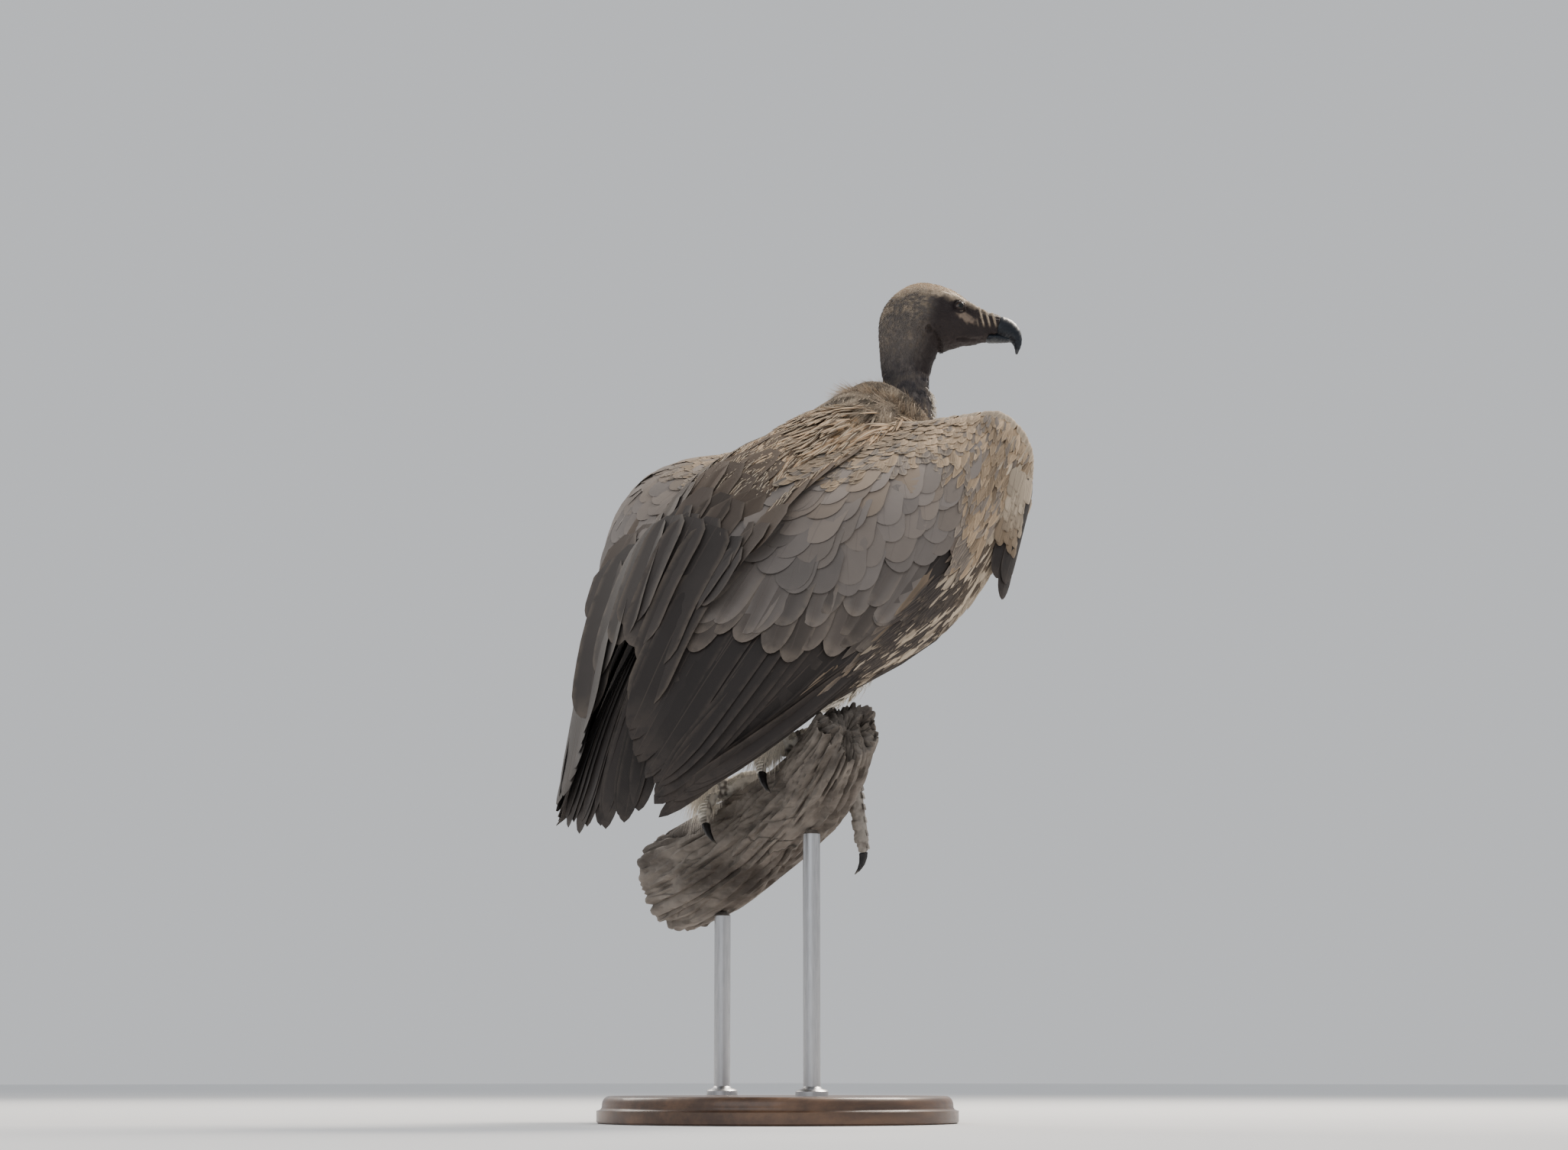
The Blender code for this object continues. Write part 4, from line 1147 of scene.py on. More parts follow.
def make_bill():
    material = horn_material("bill_horn", (0.011, 0.014, 0.019), (0.070, 0.072, 0.076), 0.30)
    for name, node, surface, start, root, widens in (
        ("bill_upper", "upper_bill", UPPER_BILL, -0.10, 0.82, (-0.06, 0.09)),
        ("bill_lower", "lower_bill", LOWER_BILL, 0.02, 0.62, (0.26, 0.40)),
    ):
        points, a, b = rings_of(surface, start, 56, 48)
        above = np.sin(a * TAU)
        squeeze = 0.25 * np.clip(above, 0, 1) ** 2 + 0.30 * np.clip(-above, 0, 1) ** 3
        side_part = (points - points.mean(axis=1, keepdims=True)) @ HEAD_SIDE
        points = points - HEAD_SIDE * (side_part * squeeze)[..., None]
        edge = bell((a - 0.02) % 0.5, 0.0, 0.05) + bell((a - 0.02) % 0.5, 0.5, 0.05)
        wear = np.clip(bell(b, 1.0, 0.12) + 0.22 * edge, 0.0, 1.0)
        ripple = 0.00012 * np.sin(b * 60.0 + 3.0 * np.sin(a * 12.0))
        middle = points.mean(axis=1, keepdims=True)
        points = points + unit(points - middle) * ripple[..., None]
        narrow = root + (1.0 - root) * smoothstep(*widens, b)
        vertices, faces = capped_grid(middle + (points - middle) * narrow[..., None])
        wear = np.concatenate([wear.ravel(), [wear[0].mean(), 1.0]])
        bill = mesh_object(name, vertices, faces, material, {"wear": wear})
        declare(bill, "horn", [node])


def make_claws():
    material = horn_material("claw_horn", (0.016, 0.015, 0.016), (0.16, 0.14, 0.12), 0.35)
    for _, side in SIDES:
        for toe in ("middle", "inner", "outer", "hind"):
            node = "claw_" + toe + "_" + side
            mesh = remeshed(NODES[node].data.copy(), node, CLAW_VOXEL, 8)
            points = vectors_of(mesh, "co")
            tip = points[np.argmin(points[:, 2])]
            set_values(mesh, "wear", bell(np.linalg.norm(points - tip, axis=1), 0.0, 0.006))
            declare(dressed("talon_" + toe + "_" + side, mesh, material), "claw", [node])


# ---- feet ----

TOE_RADIUS = 0.0066


def limb_place(t):
    return catmull(np.array(LIMB_POINTS)[:, :3], t)


def limb_radius(t):
    return catmull(np.array(LIMB_POINTS)[:, 3:], t)[..., 0]


class Foot:
    """Where a foot stands on the limb, and how its toes lie over it."""

    def __init__(self, hand, along, turn, toe_turns, hind_turn):
        self.hand = hand
        self.along = np.array(along)
        self.turn = math.radians(turn)
        self.toe_turns = np.radians(toe_turns)
        self.hind_turn = math.radians(hind_turn)
        self.axis = unit(limb_place(self.along + 0.02) - limb_place(self.along - 0.02))
        self.up = unit(UP - self.axis * self.axis[2])
        self.ahead = np.cross(self.axis, self.up)
        if self.ahead[0] < 0.0:
            self.ahead = -self.ahead

    def around(self, turn, height, shift=0.0):
        out = self.up * math.cos(turn) + self.ahead * math.sin(turn)
        return limb_place(self.along) + out * (limb_radius(self.along) + height) + self.axis * shift

    def toes(self):
        """Each toe's midline, from the pad to the claw."""
        hand = self.hand
        plans = (
            (self.toe_turns[1], 0.0, -0.004, hand < 0),
            (self.toe_turns[0], -hand * 0.008, -hand * 0.028, False),
            (self.toe_turns[2], hand * 0.008, hand * 0.028, False),
            (self.hind_turn, 0.0, 0.006, False),
        )
        for end, root_shift, tip_shift, hangs in plans:
            points = []
            for i in range(5):
                f = i / 4
                lift = 0.0085 + 0.004 * math.sin(math.pi * min(1.0, f * 1.1))
                turn = self.turn + (end - self.turn) * f
                points.append(self.around(turn, lift, root_shift + (tip_shift - root_shift) * f))
            if hangs:
                points[-1] = points[-2] + (points[-1] - points[-2]) * 0.8
                points.append(points[-1] + (0.012, 0.0, -0.058))
            yield np.array(points)


def shape_toes(points, chosen):
    """Pads under each toe, and a taper to the root of its claw."""
    picked = np.flatnonzero(chosen)
    moved = points[picked]
    for foot in FEET.values():
        middle = limb_place(foot.along)
        for path in foot.toes():
            line = catmull(path, np.linspace(0.0, 1.0, 80))
            left = np.linalg.norm(np.diff(line, axis=0), axis=1)[::-1].cumsum()[::-1]
            left = np.append(left, 0.0)
            away = np.linalg.norm(moved[:, None, :] - line[None], axis=2)
            k = away.argmin(1)
            near = away.min(1) < TOE_RADIUS * 1.9
            radial = moved - line[k]
            under = smoothstep(0.1, 0.8, -(unit(radial) * unit(line[k] - middle)).sum(1))
            scale = 0.64 + 0.36 * smoothstep(0.0, 0.012, left[k])
            scale = scale * (1.0 + 0.13 * under * np.cos(left[k] / 0.0135 * TAU))
            scale = np.where(near, scale, 1.0)
            moved = line[k] + radial * scale[:, None]
    points = points.copy()
    points[picked] = moved
    return points


def hanging(points):
    """1 on the toe that hangs clear of the limb."""
    line = catmull(list(FEET["right"].toes())[0][-3:], np.linspace(0.35, 1.0, 12))
    return smoothstep(0.016, 0.010, np.linalg.norm(points[:, None, :] - line[None], axis=2).min(1))


FEET = {
    "left": Foot(1, 0.335, -26.0, (36.0, 44.0, 34.0), -76.0),
    "right": Foot(-1, 0.640, -20.0, (52.0, 88.0, 50.0), -70.0),
}


def ankle_of(side):
    foot = FEET[side]
    return foot.around(foot.turn, PAD_HEIGHT) + (-0.058, foot.hand * 0.002, 0.058)


PAD_HEIGHT = 0.011


def scute_material():
    look = Look("scute")
    fine = look.cloud(260.0, 4.0)
    tone = look.scaled(look.value("tone"), 0.5, 0.75)
    colour = look.brighten(look.tint(), look.times(tone, fine))
    return look.finish({
        "Base Color": look.brighten(colour, 1.7), "Roughness": look.scaled(fine, 0.3, 0.4),
    }, fine, 0.0004, 0.5)


SCUTE_ARC = 1.15
SCUTE_ROWS = ((-0.75, 0.0002), (0.0, 0.0006), (0.62, 0.0008), (0.78, 0.0001))
SCUTE_SIDE = 7
SCUTE_RING = 2 * SCUTE_SIDE


def scute_faces():
    """Faces of one plate, whose rows are each an outer and an inner arc of points."""
    rings = []
    for row in range(len(SCUTE_ROWS)):
        outer = list(range(row * SCUTE_RING, row * SCUTE_RING + SCUTE_SIDE))
        inner = [k + SCUTE_SIDE for k in outer]
        rings.append(outer + inner[::-1])
    quads = []
    for one, two in zip(rings, rings[1:]):
        for c in range(SCUTE_RING):
            d = (c + 1) % SCUTE_RING
            quads.append((one[c], two[c], two[d], one[d]))
    for ring, flip in ((rings[0], 1), (rings[-1], -1)):
        for c in range(SCUTE_SIDE - 1):
            quads.append((ring[c], ring[c + 1], ring[-2 - c], ring[-1 - c])[::flip])
    return np.array(quads)


def scute_points(centre, ahead, out, size, pitch):
    """Points (n, 56, 3) of the plates at centre, each bowed over the limb and facing out."""
    side_way = np.cross(ahead, out)
    points = []
    for step, raised in SCUTE_ROWS:
        for low in (0.0, -0.0014):
            for angle in np.linspace(-SCUTE_ARC, SCUTE_ARC, SCUTE_SIDE):
                reach = (size + raised + low)[:, None]
                bow = 0.35 * pitch * (1.0 - (angle / SCUTE_ARC) ** 2)
                point = centre + ahead * (step * pitch + bow) + out * reach * math.cos(angle)
                points.append(point + side_way * reach * math.sin(angle))
    return np.stack(points, axis=1)


def make_scutes():
    """Overlapping plates across the top of each toe and the front of each shank."""
    coat = Coat()
    spread = np.tile(np.linspace(-1, 1, SCUTE_RING), len(SCUTE_ROWS))[None, :]
    rank = np.repeat((0, 0.3, 0.6, 1.0), SCUTE_RING)[None, :]
    flat = np.zeros((1, SCUTE_RING * len(SCUTE_ROWS)))
    faces = scute_faces()
    for hand, side in SIDES:
        foot = FEET[side]
        middle = limb_place(foot.along)
        pad = foot.around(foot.turn, PAD_HEIGHT)
        ankle = ankle_of(side)
        chart = (0.0, 5.0, 0.0, 1.0) + half_map(hand)
        runs = [(path, *((1.33, 26) if len(path) > 5 else (1.02, 17))) for path in foot.toes()]
        runs.append((np.array([ankle + (0, 0, 0.004), ankle * 0.5 + pad * 0.5, pad]), None, 13))
        for k, (path, wide, count) in enumerate(runs):
            t = (np.arange(count) + 0.5) / count
            centre = catmull(path, t)
            ahead = unit(catmull(path, t + 0.01) - catmull(path, t - 0.01))
            if wide:
                out = unit(centre - middle)
                size = TOE_RADIUS * wide * (1.12 - 0.16 * t - 0.34 * smoothstep(0.75, 1.05, t))
            else:
                out = np.broadcast_to(unit(np.array((0.7, 0.0, 0.7))), centre.shape)
                size = np.full(count, 0.0098)
            out = unit(out - ahead * (ahead * out).sum(-1, keepdims=True))
            pitch = np.linalg.norm(path[-1] - path[0]) / count * 0.78
            points = scute_points(centre, ahead, out, size, pitch)
            # Plates: dark with pale dust and painted sunlight.
            tint = mix(FOOT_DARK * 0.9, DUST_AND_SUNLIT_PALE, foot_dust_and_painted_sun(centre))
            tone = random_source(40 + k).uniform(0, 1, (count, 1))
            uv = root_patches(np.full(count, k + 0.5), t, chart, spread, rank)
            coat.gather(points, faces, flat, flat, tone, flat, tint, uv)
    coat.build("scutes", scute_material(), "scute")


# ---- perch and stand ----

def make_perch():
    """A weathered length of dead limb: sawn at one end, splintered at the other."""
    rings, sides = 150, 120
    t, turn = np.meshgrid(np.linspace(0, 1, rings), np.arange(sides) / sides * TAU, indexing="ij")
    centre = limb_place(t)
    ahead = unit(limb_place(t + 0.01) - limb_place(t - 0.01))
    across = unit(np.cross(np.broadcast_to(UP, ahead.shape), ahead))
    rise = np.cross(ahead, across)
    swell = 1.0 + 0.035 * np.sin(3 * turn + 5 * t) + 0.02 * np.sin(5 * turn - 9 * t)
    out = across * np.cos(turn)[..., None] + rise * np.sin(turn)[..., None]
    grain = np.stack([np.cos(turn) * 1.6, np.sin(turn) * 1.6, t * 2.2], -1)
    ridges = np.abs(noise_at(grain * (3.1, 3.1, 1.3), 1.0, 2.0))
    fine = np.abs(noise_at(grain * (13.0, 13.0, 5.0), 1.0, 7.0))
    knots = noise_at(grain * (1.6, 1.6, 3.0), 1.0, 11.0)
    depth = 0.0052 * smoothstep(0.25, 0.0, ridges) + 0.0022 * smoothstep(0.2, 0.0, fine)
    depth += 0.0025 * smoothstep(0.0, 0.5, knots) + 0.0015 * smoothstep(0.012, 0.0, t)
    points = centre + out * (limb_radius(t) * swell - depth)[..., None]
    broken = smoothstep(0.90, 1.0, t)
    jag = 0.008 + 0.010 * np.sin(2 * turn + 0.6)
    ring = np.stack([np.cos(turn), np.sin(turn), 0 * turn], -1)
    splinter = 0.020 * noise_at(ring * 1.9, 1.0, 4.0) + 0.008 * noise_at(ring * 6.0, 1.0, 9.0)
    points = points + ahead * (broken * (jag + splinter) * 0.75)[..., None]
    cap = points[-1].mean(0)
    layers = [points]
    for shrink in (0.94, 0.86, 0.77, 0.67, 0.56, 0.44, 0.31, 0.17):
        flat = ring[-1:] * shrink + (0.3, 0.1, 0.0)
        rough = 0.016 * noise_at(flat * (2.6, 1.2, 1.0), 1.0, 5.0)
        rough += 0.007 * noise_at(flat * (9.0, 4.0, 1.0), 1.0, 8.0)
        layers.append(cap + (points[-1:] - cap) * shrink + ahead[-1:] * rough[..., None])
    vertices, faces = capped_grid(np.concatenate(layers))
    dark, pale = (0.060, 0.047, 0.038), (0.195, 0.168, 0.143)
    material = wood_material("weathered_wood", dark, pale, (1.0, 0.35, 1.0), 0.85, 0.85)
    declare(mesh_object("branch", vertices, faces, material, sharp=55.0), "bark", ["perch"])


def upright(box):
    """Radius, axis, bottom and top of an upright round solid, from its box."""
    low, high = (np.array(corner) for corner in box)
    axis = np.array(((low[0] + high[0]) / 2, (low[1] + high[1]) / 2, 0.0))
    return (high[0] - low[0]) / 2, axis, low[2], high[2]


def turned(name, profile, axis, sides, material):
    """A body of revolution about the vertical; profile is (radius, height) from the bottom up."""
    turn = np.arange(sides) / sides * TAU
    ring = np.stack([np.cos(turn), np.sin(turn), 0 * turn], -1)
    points = np.stack([axis + ring * radius + UP * height for radius, height in profile])
    return mesh_object(name, *capped_grid(points), material, sharp=35.0)


def make_stand():
    dark, pale = (0.060, 0.028, 0.014), (0.135, 0.068, 0.034)
    wood = wood_material("stand_walnut", dark, pale, (0.25, 1.6, 1.6), 0.42, 0.0, 0.25)
    radius, axis, _, top = upright(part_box("stand_base"))
    step = top * 0.42
    profile = [(radius - 0.0015, 0.0), (radius, 0.0015), (radius, step)]
    cove = np.linspace(0, math.pi / 2, 8)
    profile += [(radius - 0.005 * math.sin(c), step + 0.004 * (1 - math.cos(c)) + 0.001) for c in cove]
    profile += [(radius - 0.012 + 0.007 * math.cos(c), top - 0.0085 * (1 - math.sin(c))) for c in cove]
    profile += [(radius * 0.80, top)]
    declare(turned("display_base", profile, axis, 160, wood), "stand_wood", ["stand_base"])
    steel = steel_material()
    for _, side in SIDES:
        rod, axis, start, top = upright(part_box("stand_rod_" + side))
        foot = ((1.9, 0.0), (1.9, 0.004), (1.7, 0.0055), (1.25, 0.0065), (1.0, 0.0085))
        profile = [(rod * wide, start + height) for wide, height in foot]
        profile += [(rod, top - 0.004), (rod * 0.6, top)]
        support = turned("support_" + side, profile, axis, 48, steel)
        declare(support, "stand_steel", ["stand_rod_" + side])


# ---- camera, floor and lights ----

CAMERA_PLACE = (-1.9228, -1.9313, 0.0419)
CAMERA_TILT = math.radians(100.0)
CAMERA_TURN = math.radians(-45.0)
CAMERA_LENS = 65.465
LIGHT_TARGET = (0.0, 0.0, 0.55)
FLOOR_HALF = 14.0
FLOOR_DROP = 0.0004


def make_camera():
    data = bpy.data.cameras.new("camera")
    data.lens = CAMERA_LENS
    data.sensor_width = 36.0
    data.clip_start = 0.02
    camera = link("camera", data)
    camera.location = CAMERA_PLACE
    camera.rotation_euler = (CAMERA_TILT, 0.0, CAMERA_TURN)
    bpy.context.scene.camera = camera


def area_light(name, place, size, power, tint):
    """A square lamp that faces the bird."""
    data = bpy.data.lights.new(name, "AREA")
    data.size = size
    data.energy = power
    data.color = tint
    light = link(name, data)
    light.location = place
    light.rotation_euler = (Vector(LIGHT_TARGET) - Vector(place)).to_track_quat("-Z", "Y").to_euler()


def make_studio():
    """Pale floor, a soft warm key from the far right above, and weak cool fill."""
    look = Look("floor")
    colour = look.blend(look.cloud(2.0), (0.76, 0.765, 0.77), (0.80, 0.805, 0.81))
    material = look.finish({"Base Color": colour, "Roughness": 0.9})
    corners = np.array(((-1, -1, 0), (1, -1, 0), (1, 1, 0), (-1, 1, 0))) * FLOOR_HALF - UP * FLOOR_DROP
    floor = mesh_object("studio_floor", corners, [np.array(((0, 1, 2, 3),))], material)
    area_light("key", (1.9, 0.10, 2.5), 1.2, 135.0, (1.0, 0.91, 0.80))
    area_light("rim", (0.2, 2.6, 2.0), 1.2, 34.0, (1.0, 0.93, 0.84))
    area_light("fill", (-2.6, -1.2, 1.7), 2.4, 22.0, (0.88, 0.93, 1.0))
    world = bpy.data.worlds.new("studio")
    world.use_nodes = True
    background = world.node_tree.nodes["Background"].inputs
    background["Color"].default_value = (0.80, 0.82, 0.85, 1.0)
    background["Strength"].default_value = 0.80
    bpy.context.scene.world = world


# ---- colours of the plumage ----

COVERT_GREY = np.array((0.168, 0.147, 0.134))
COVERT_BUFF = np.array((0.470, 0.335, 0.212))
GREATER_BROWN = np.array((0.085, 0.070, 0.060))
FLIGHT_BROWN = np.array((0.026, 0.021, 0.019))
SCAPULAR_BROWN = np.array((0.060, 0.050, 0.045))
MANTLE_BUFF = np.array((0.420, 0.270, 0.150))
BREAST_BROWN = np.array((0.165, 0.112, 0.078))
LEG_WHITE = np.array((0.66, 0.61, 0.53))
WING_PALE = np.array((0.520, 0.420, 0.310))

# Charts for root_patches.
WING_CHART = (0.0, 1.1, 0.0, 1.1, 0.0, 1.0)
ALULA_CHART = (-1.0, 1.0, -0.2, 1.0, 0.0, 1.0)


def half_map(first):
    """The part of the unwrapped map's width for the first or the second of two surfaces."""
    return (0.0, 0.5) if first > 0 else (0.5, 1.0)


def jittered(colour, source, count, amount):
    """One colour for each of count feathers, each a little lighter or darker."""
    return np.broadcast_to(colour, (count, 3)) * (1.0 + amount * source.uniform(-1, 1, (count, 1)))


def varied(colour, count, seed, amount=0.15):
    """The same, from a source of its own."""
    return jittered(colour, random_source(seed), count, amount)


SOLIDS = {}


def solid_tree(name):
    """Search tree of one CAD solid."""
    if name not in SOLIDS:
        bm = bmesh.new()
        bm.from_mesh(NODES[name].data)
        bm.transform(NODES[name].matrix_world)
        SOLIDS[name] = BVHTree.FromBMesh(bm)
        bm.free()
    return SOLIDS[name]


def clear_of(points, names, gap):
    """True where a point is outside every named solid by at least gap."""
    clear = np.ones(len(points), bool)
    for name in names:
        tree = solid_tree(name)
        for i, p in enumerate(points.tolist()):
            if clear[i]:
                near, normal, _, distance = tree.find_nearest(p, 0.12)
                if near is not None:
                    outside = (Vector(p) - near).dot(normal) > 0.0
                    clear[i] = outside and distance > gap
    return clear


def shingled(*area):
    """Scattered roots in the order of a roof: those farthest along come first, under the rest."""
    a, b = scatter(*area)
    order = np.argsort(-b)
    return a[order], b[order]


def free_roots(surface, a, b, reach, gap=0.006):
    """True where a feather's root and tip both keep clear of the wings."""
    parts = ("wing_coverts_", "wing_secondaries_", "wing_primaries_")
    names = [part + side for _, side in SIDES for part in parts]
    step = reach / np.linalg.norm(surface.slopes(a, b)[1], axis=-1)
    clear = clear_of(surface.place(a, b), names, gap)
    return clear & clear_of(surface.place(a, b + step), names, gap)


def length_to(surface, a, b, tip):
    """Length that brings a feather's tip from b to the place tip along the surface."""
    return (tip - b) * np.linalg.norm(surface.slopes(a, b)[1], axis=-1)


def spaced(count, low, high, seed, jitter=0.2):
    """Places in a row, evenly spaced but for a little jitter."""
    source = random_source(seed)
    step = (high - low) / count
    return low + step * (np.arange(count) + 0.5 + jitter * source.uniform(-1, 1, count))


def belly_limit(a, b):
    """True on the breast, and below it only along the middle of the belly."""
    return (b < 0.66) | (np.abs(a - 0.25) < 0.16)


# ---- wings ----

# Flight feathers, and where along the wing's width the arm and the hand end.
SECONDARIES = 15
PRIMARIES = 10
ARM_END = 0.655
HAND_END = 0.985


def median_edge(s):
    """Where the grey median coverts end."""
    return 0.560 - 0.9 * np.maximum(0.25 - s, 0.0) ** 2 - 0.265 * smoothstep(0.30, 0.76, s)


def lesser_edge(s):
    """Where the small buff coverts end, far down the hand and high on the arm."""
    arm = 0.285 - 0.110 * smoothstep(0.24, 0.40, s) + 0.080 * smoothstep(0.50, 0.66, s)
    arm = arm + 0.014 * np.sin(s * 40.0)
    return arm + (0.50 - arm) * smoothstep(0.66, 0.78, s)


def slant(s):
    """Coverts on the middle of the arm hang more steeply than the wing's own curves."""
    return 0.34 * bell(s, 0.42, 0.20)


def wing_flight(coat, hand, side, seed):
    """Secondaries behind the arm, then primaries behind the hand."""
    surface = WINGS[side]
    s = spaced(SECONDARIES, 0.0, ARM_END, seed)
    root = np.full(SECONDARIES, 0.36)
    tip = 0.985 + 0.012 * np.sin(np.arange(SECONDARIES) * 2.4)
    top = 1.0 - s / ARM_END
    lift = (-0.0065 + 0.0034 * top, -0.0030 + 0.0034 * top)
    lay_vanes(coat, surface, s, root, length_to(surface, s, root, tip), 0.0165, FLIGHT,
              varied(FLIGHT_BROWN, SECONDARIES, seed), seed + 1, 0.0, lift, 0.10, hand * 0.10, 0.0006,
              FLIGHT_STEPS, ragged=0.02, chart=WING_CHART)
    s = spaced(PRIMARIES, ARM_END, HAND_END, seed + 2, 0.1)
    root = np.full(PRIMARIES, 0.22)
    tip = np.linspace(0.94, 1.025, PRIMARIES)
    top = 1.0 - (s - ARM_END) / (HAND_END - ARM_END)
    lift = (-0.0055 + 0.0030 * top, -0.0038 + 0.0030 * top)
    lay_vanes(coat, surface, s, root, length_to(surface, s, root, tip), 0.0115, FLIGHT,
              varied(FLIGHT_BROWN * 1.1, PRIMARIES, seed), seed + 3, 0.0, lift, 0.12, hand * 0.16, 0.0006,
              FLIGHT_STEPS, ragged=0.015, chart=WING_CHART)


def wing_great(coat, hand, side, seed):
    """Greater coverts in two rows, and four rows of narrow coverts over the hand."""
    surface = WINGS[side]
    for k, (count, edge, reach, half) in enumerate(((14, 0.0, 0.125, 0.0160), (13, -0.060, 0.100, 0.0158))):
        source = random_source(seed + 9 + k)
        s = spaced(count, 0.065, 0.69, seed + k, 0.35)
        tip = 0.80 - 0.36 * s + edge + source.uniform(-0.022, 0.022, count)
        root = tip - reach / 0.53
        top = 1.0 - s / 0.69
        lift = (-0.0045 + 0.0024 * top + 0.0005 * k, -0.0004 + 0.0024 * top + 0.0003 * k)
        tint = mix(GREATER_BROWN, COVERT_GREY * 0.80, np.full(count, 0.15 + 0.60 * k))
        lay_vanes(coat, surface, s, root, length_to(surface, s, root, tip), half, BROAD,
                  jittered(tint, source, count, 0.22), seed + 4 + k, slant(s) * 0.7, lift, 0.12, hand * 0.09,
                  0.0005, BROAD_STEPS, ragged=0.11, shake=0.0001, chart=WING_CHART)
    count = 11
    for k in range(4):
        source = random_source(seed + 11 + k)
        s = spaced(count, 0.66, 0.99, seed + 20 + k, 0.4)
        tip = 0.72 - 0.075 * k - 0.06 * (s - 0.68) + source.uniform(-0.025, 0.025, count)
        root = tip - 0.19
        dark = np.clip(0.65 + 0.5 * source.uniform(-1, 1, count), 0, 1)
        lay_vanes(coat, surface, s, root, length_to(surface, s, root, tip), 0.0066, LANCE,
                  mix(COVERT_BUFF * 0.60, GREATER_BROWN, dark), seed + 30 + k, 0.0,
                  (-0.0035, -0.0010 + 0.0004 * k), 0.22, hand * 0.12, 0.0005, ragged=0.10, chart=WING_CHART)


def wing_median(coat, hand, side, seed):
    """Grey coverts in six rows across the middle of the wing."""
    surface = WINGS[side]
    for k in range(6):
        source = random_source(seed + 40 + k)
        count = 15 - (k % 2)
        s = spaced(count, 0.04, 0.77, seed + k, 0.45)
        tip = median_edge(s) - 0.054 * k + source.uniform(-0.014, 0.014, count)
        root = tip - 0.130
        keep = tip > lesser_edge(s) * 0.8 + 0.095 * smoothstep(0.48, 0.54, s)
        s, tip, root = s[keep], tip[keep], root[keep]
        n = len(s)
        tint = varied(COVERT_GREY * (0.92 + 0.07 * k), n, seed + 5 + k, 0.12)
        tint = mix(tint, tint * (1.25, 1.08, 0.92), smoothstep(0.55, 0.7, s))
        tint = mix(tint, COVERT_BUFF * 0.55, 0.12 * k * source.uniform(0, 1, n))
        top = 0.0018 * (1.0 - s / 0.77)
        rise = 0.0002 * k * smoothstep(0.60, 0.50, s)
        lift = (-0.0018 + rise + top, 0.0004 + rise + top)
        half = 0.0175 - 0.0075 * smoothstep(0.50, 0.70, s)
        lay_vanes(coat, surface, s, root, length_to(surface, s, root, tip), half, BROAD, tint, seed + 10 + k,
                  slant(s), lift, 0.05, hand * 0.075, 0.0004, BROAD_STEPS, ragged=0.11, shake=0.0001,
                  chart=WING_CHART)


def wing_lesser(coat, hand, side, seed):
    """Rows of small coverts, mottled buff with dark centres, narrower towards the hand."""
    surface = WINGS[side]
    rows, count = 17, 36
    for k in range(rows):
        v = (rows - 1 - k) / (rows - 1)
        source = random_source(seed + 50 + k)
        s = spaced(count, 0.0, 0.80, seed + k, 0.9)
        root = v * (np.minimum(lesser_edge(s), 0.33) - 0.036) + source.uniform(-0.010, 0.010, count)
        root = np.maximum(root, 0.014)
        small = 0.60 + 0.40 * smoothstep(0.0, 0.09, root)
        place = surface.place(s, root)
        patch = noise_at(place, 48.0, 3.0) + 0.5 * noise_at(place, 110.0, 9.0)
        tint = mix(COVERT_BUFF * 0.48, COVERT_BUFF * 1.05, smoothstep(-0.45, 0.45, patch))
        spot = source.uniform(0, 1, count) < 0.16 + 0.45 * smoothstep(0.6, 1.0, v)
        tint = mix(tint, COVERT_GREY * 0.95, spot * 0.85)
        tint = mix(tint, tint * 0.62, smoothstep(0.35, 0.10, s))
        # Painted sunlight: on the left wing only, the lesser coverts turn paler towards the wing's upper
        # edge.
        if hand > 0:
            tint = mix(tint, WING_PALE, smoothstep(0.16, 0.02, root) * 0.7)
        tint = jittered(tint, source, count, 0.20)
        top = 0.0016 * (1.0 - s / 0.80)
        long = smoothstep(0.40, 0.60, s)
        reach = (0.026 + 0.008 * v + 0.006 * long) * small
        half = (0.0060 - 0.0022 * long) * small
        for narrow, shape in enumerate((ROUND, LANCE)):
            pick = (long > 0.5) == bool(narrow)
            lay_vanes(coat, surface, s[pick], root[pick], reach[pick], half[pick], shape, tint[pick],
                      seed + 70 + 2 * k + narrow, slant(s[pick]) * 0.8, (top[pick], 0.0022 + top[pick]),
                      0.12, hand * 0.06, 0.0003, ragged=0.22, chart=WING_CHART)


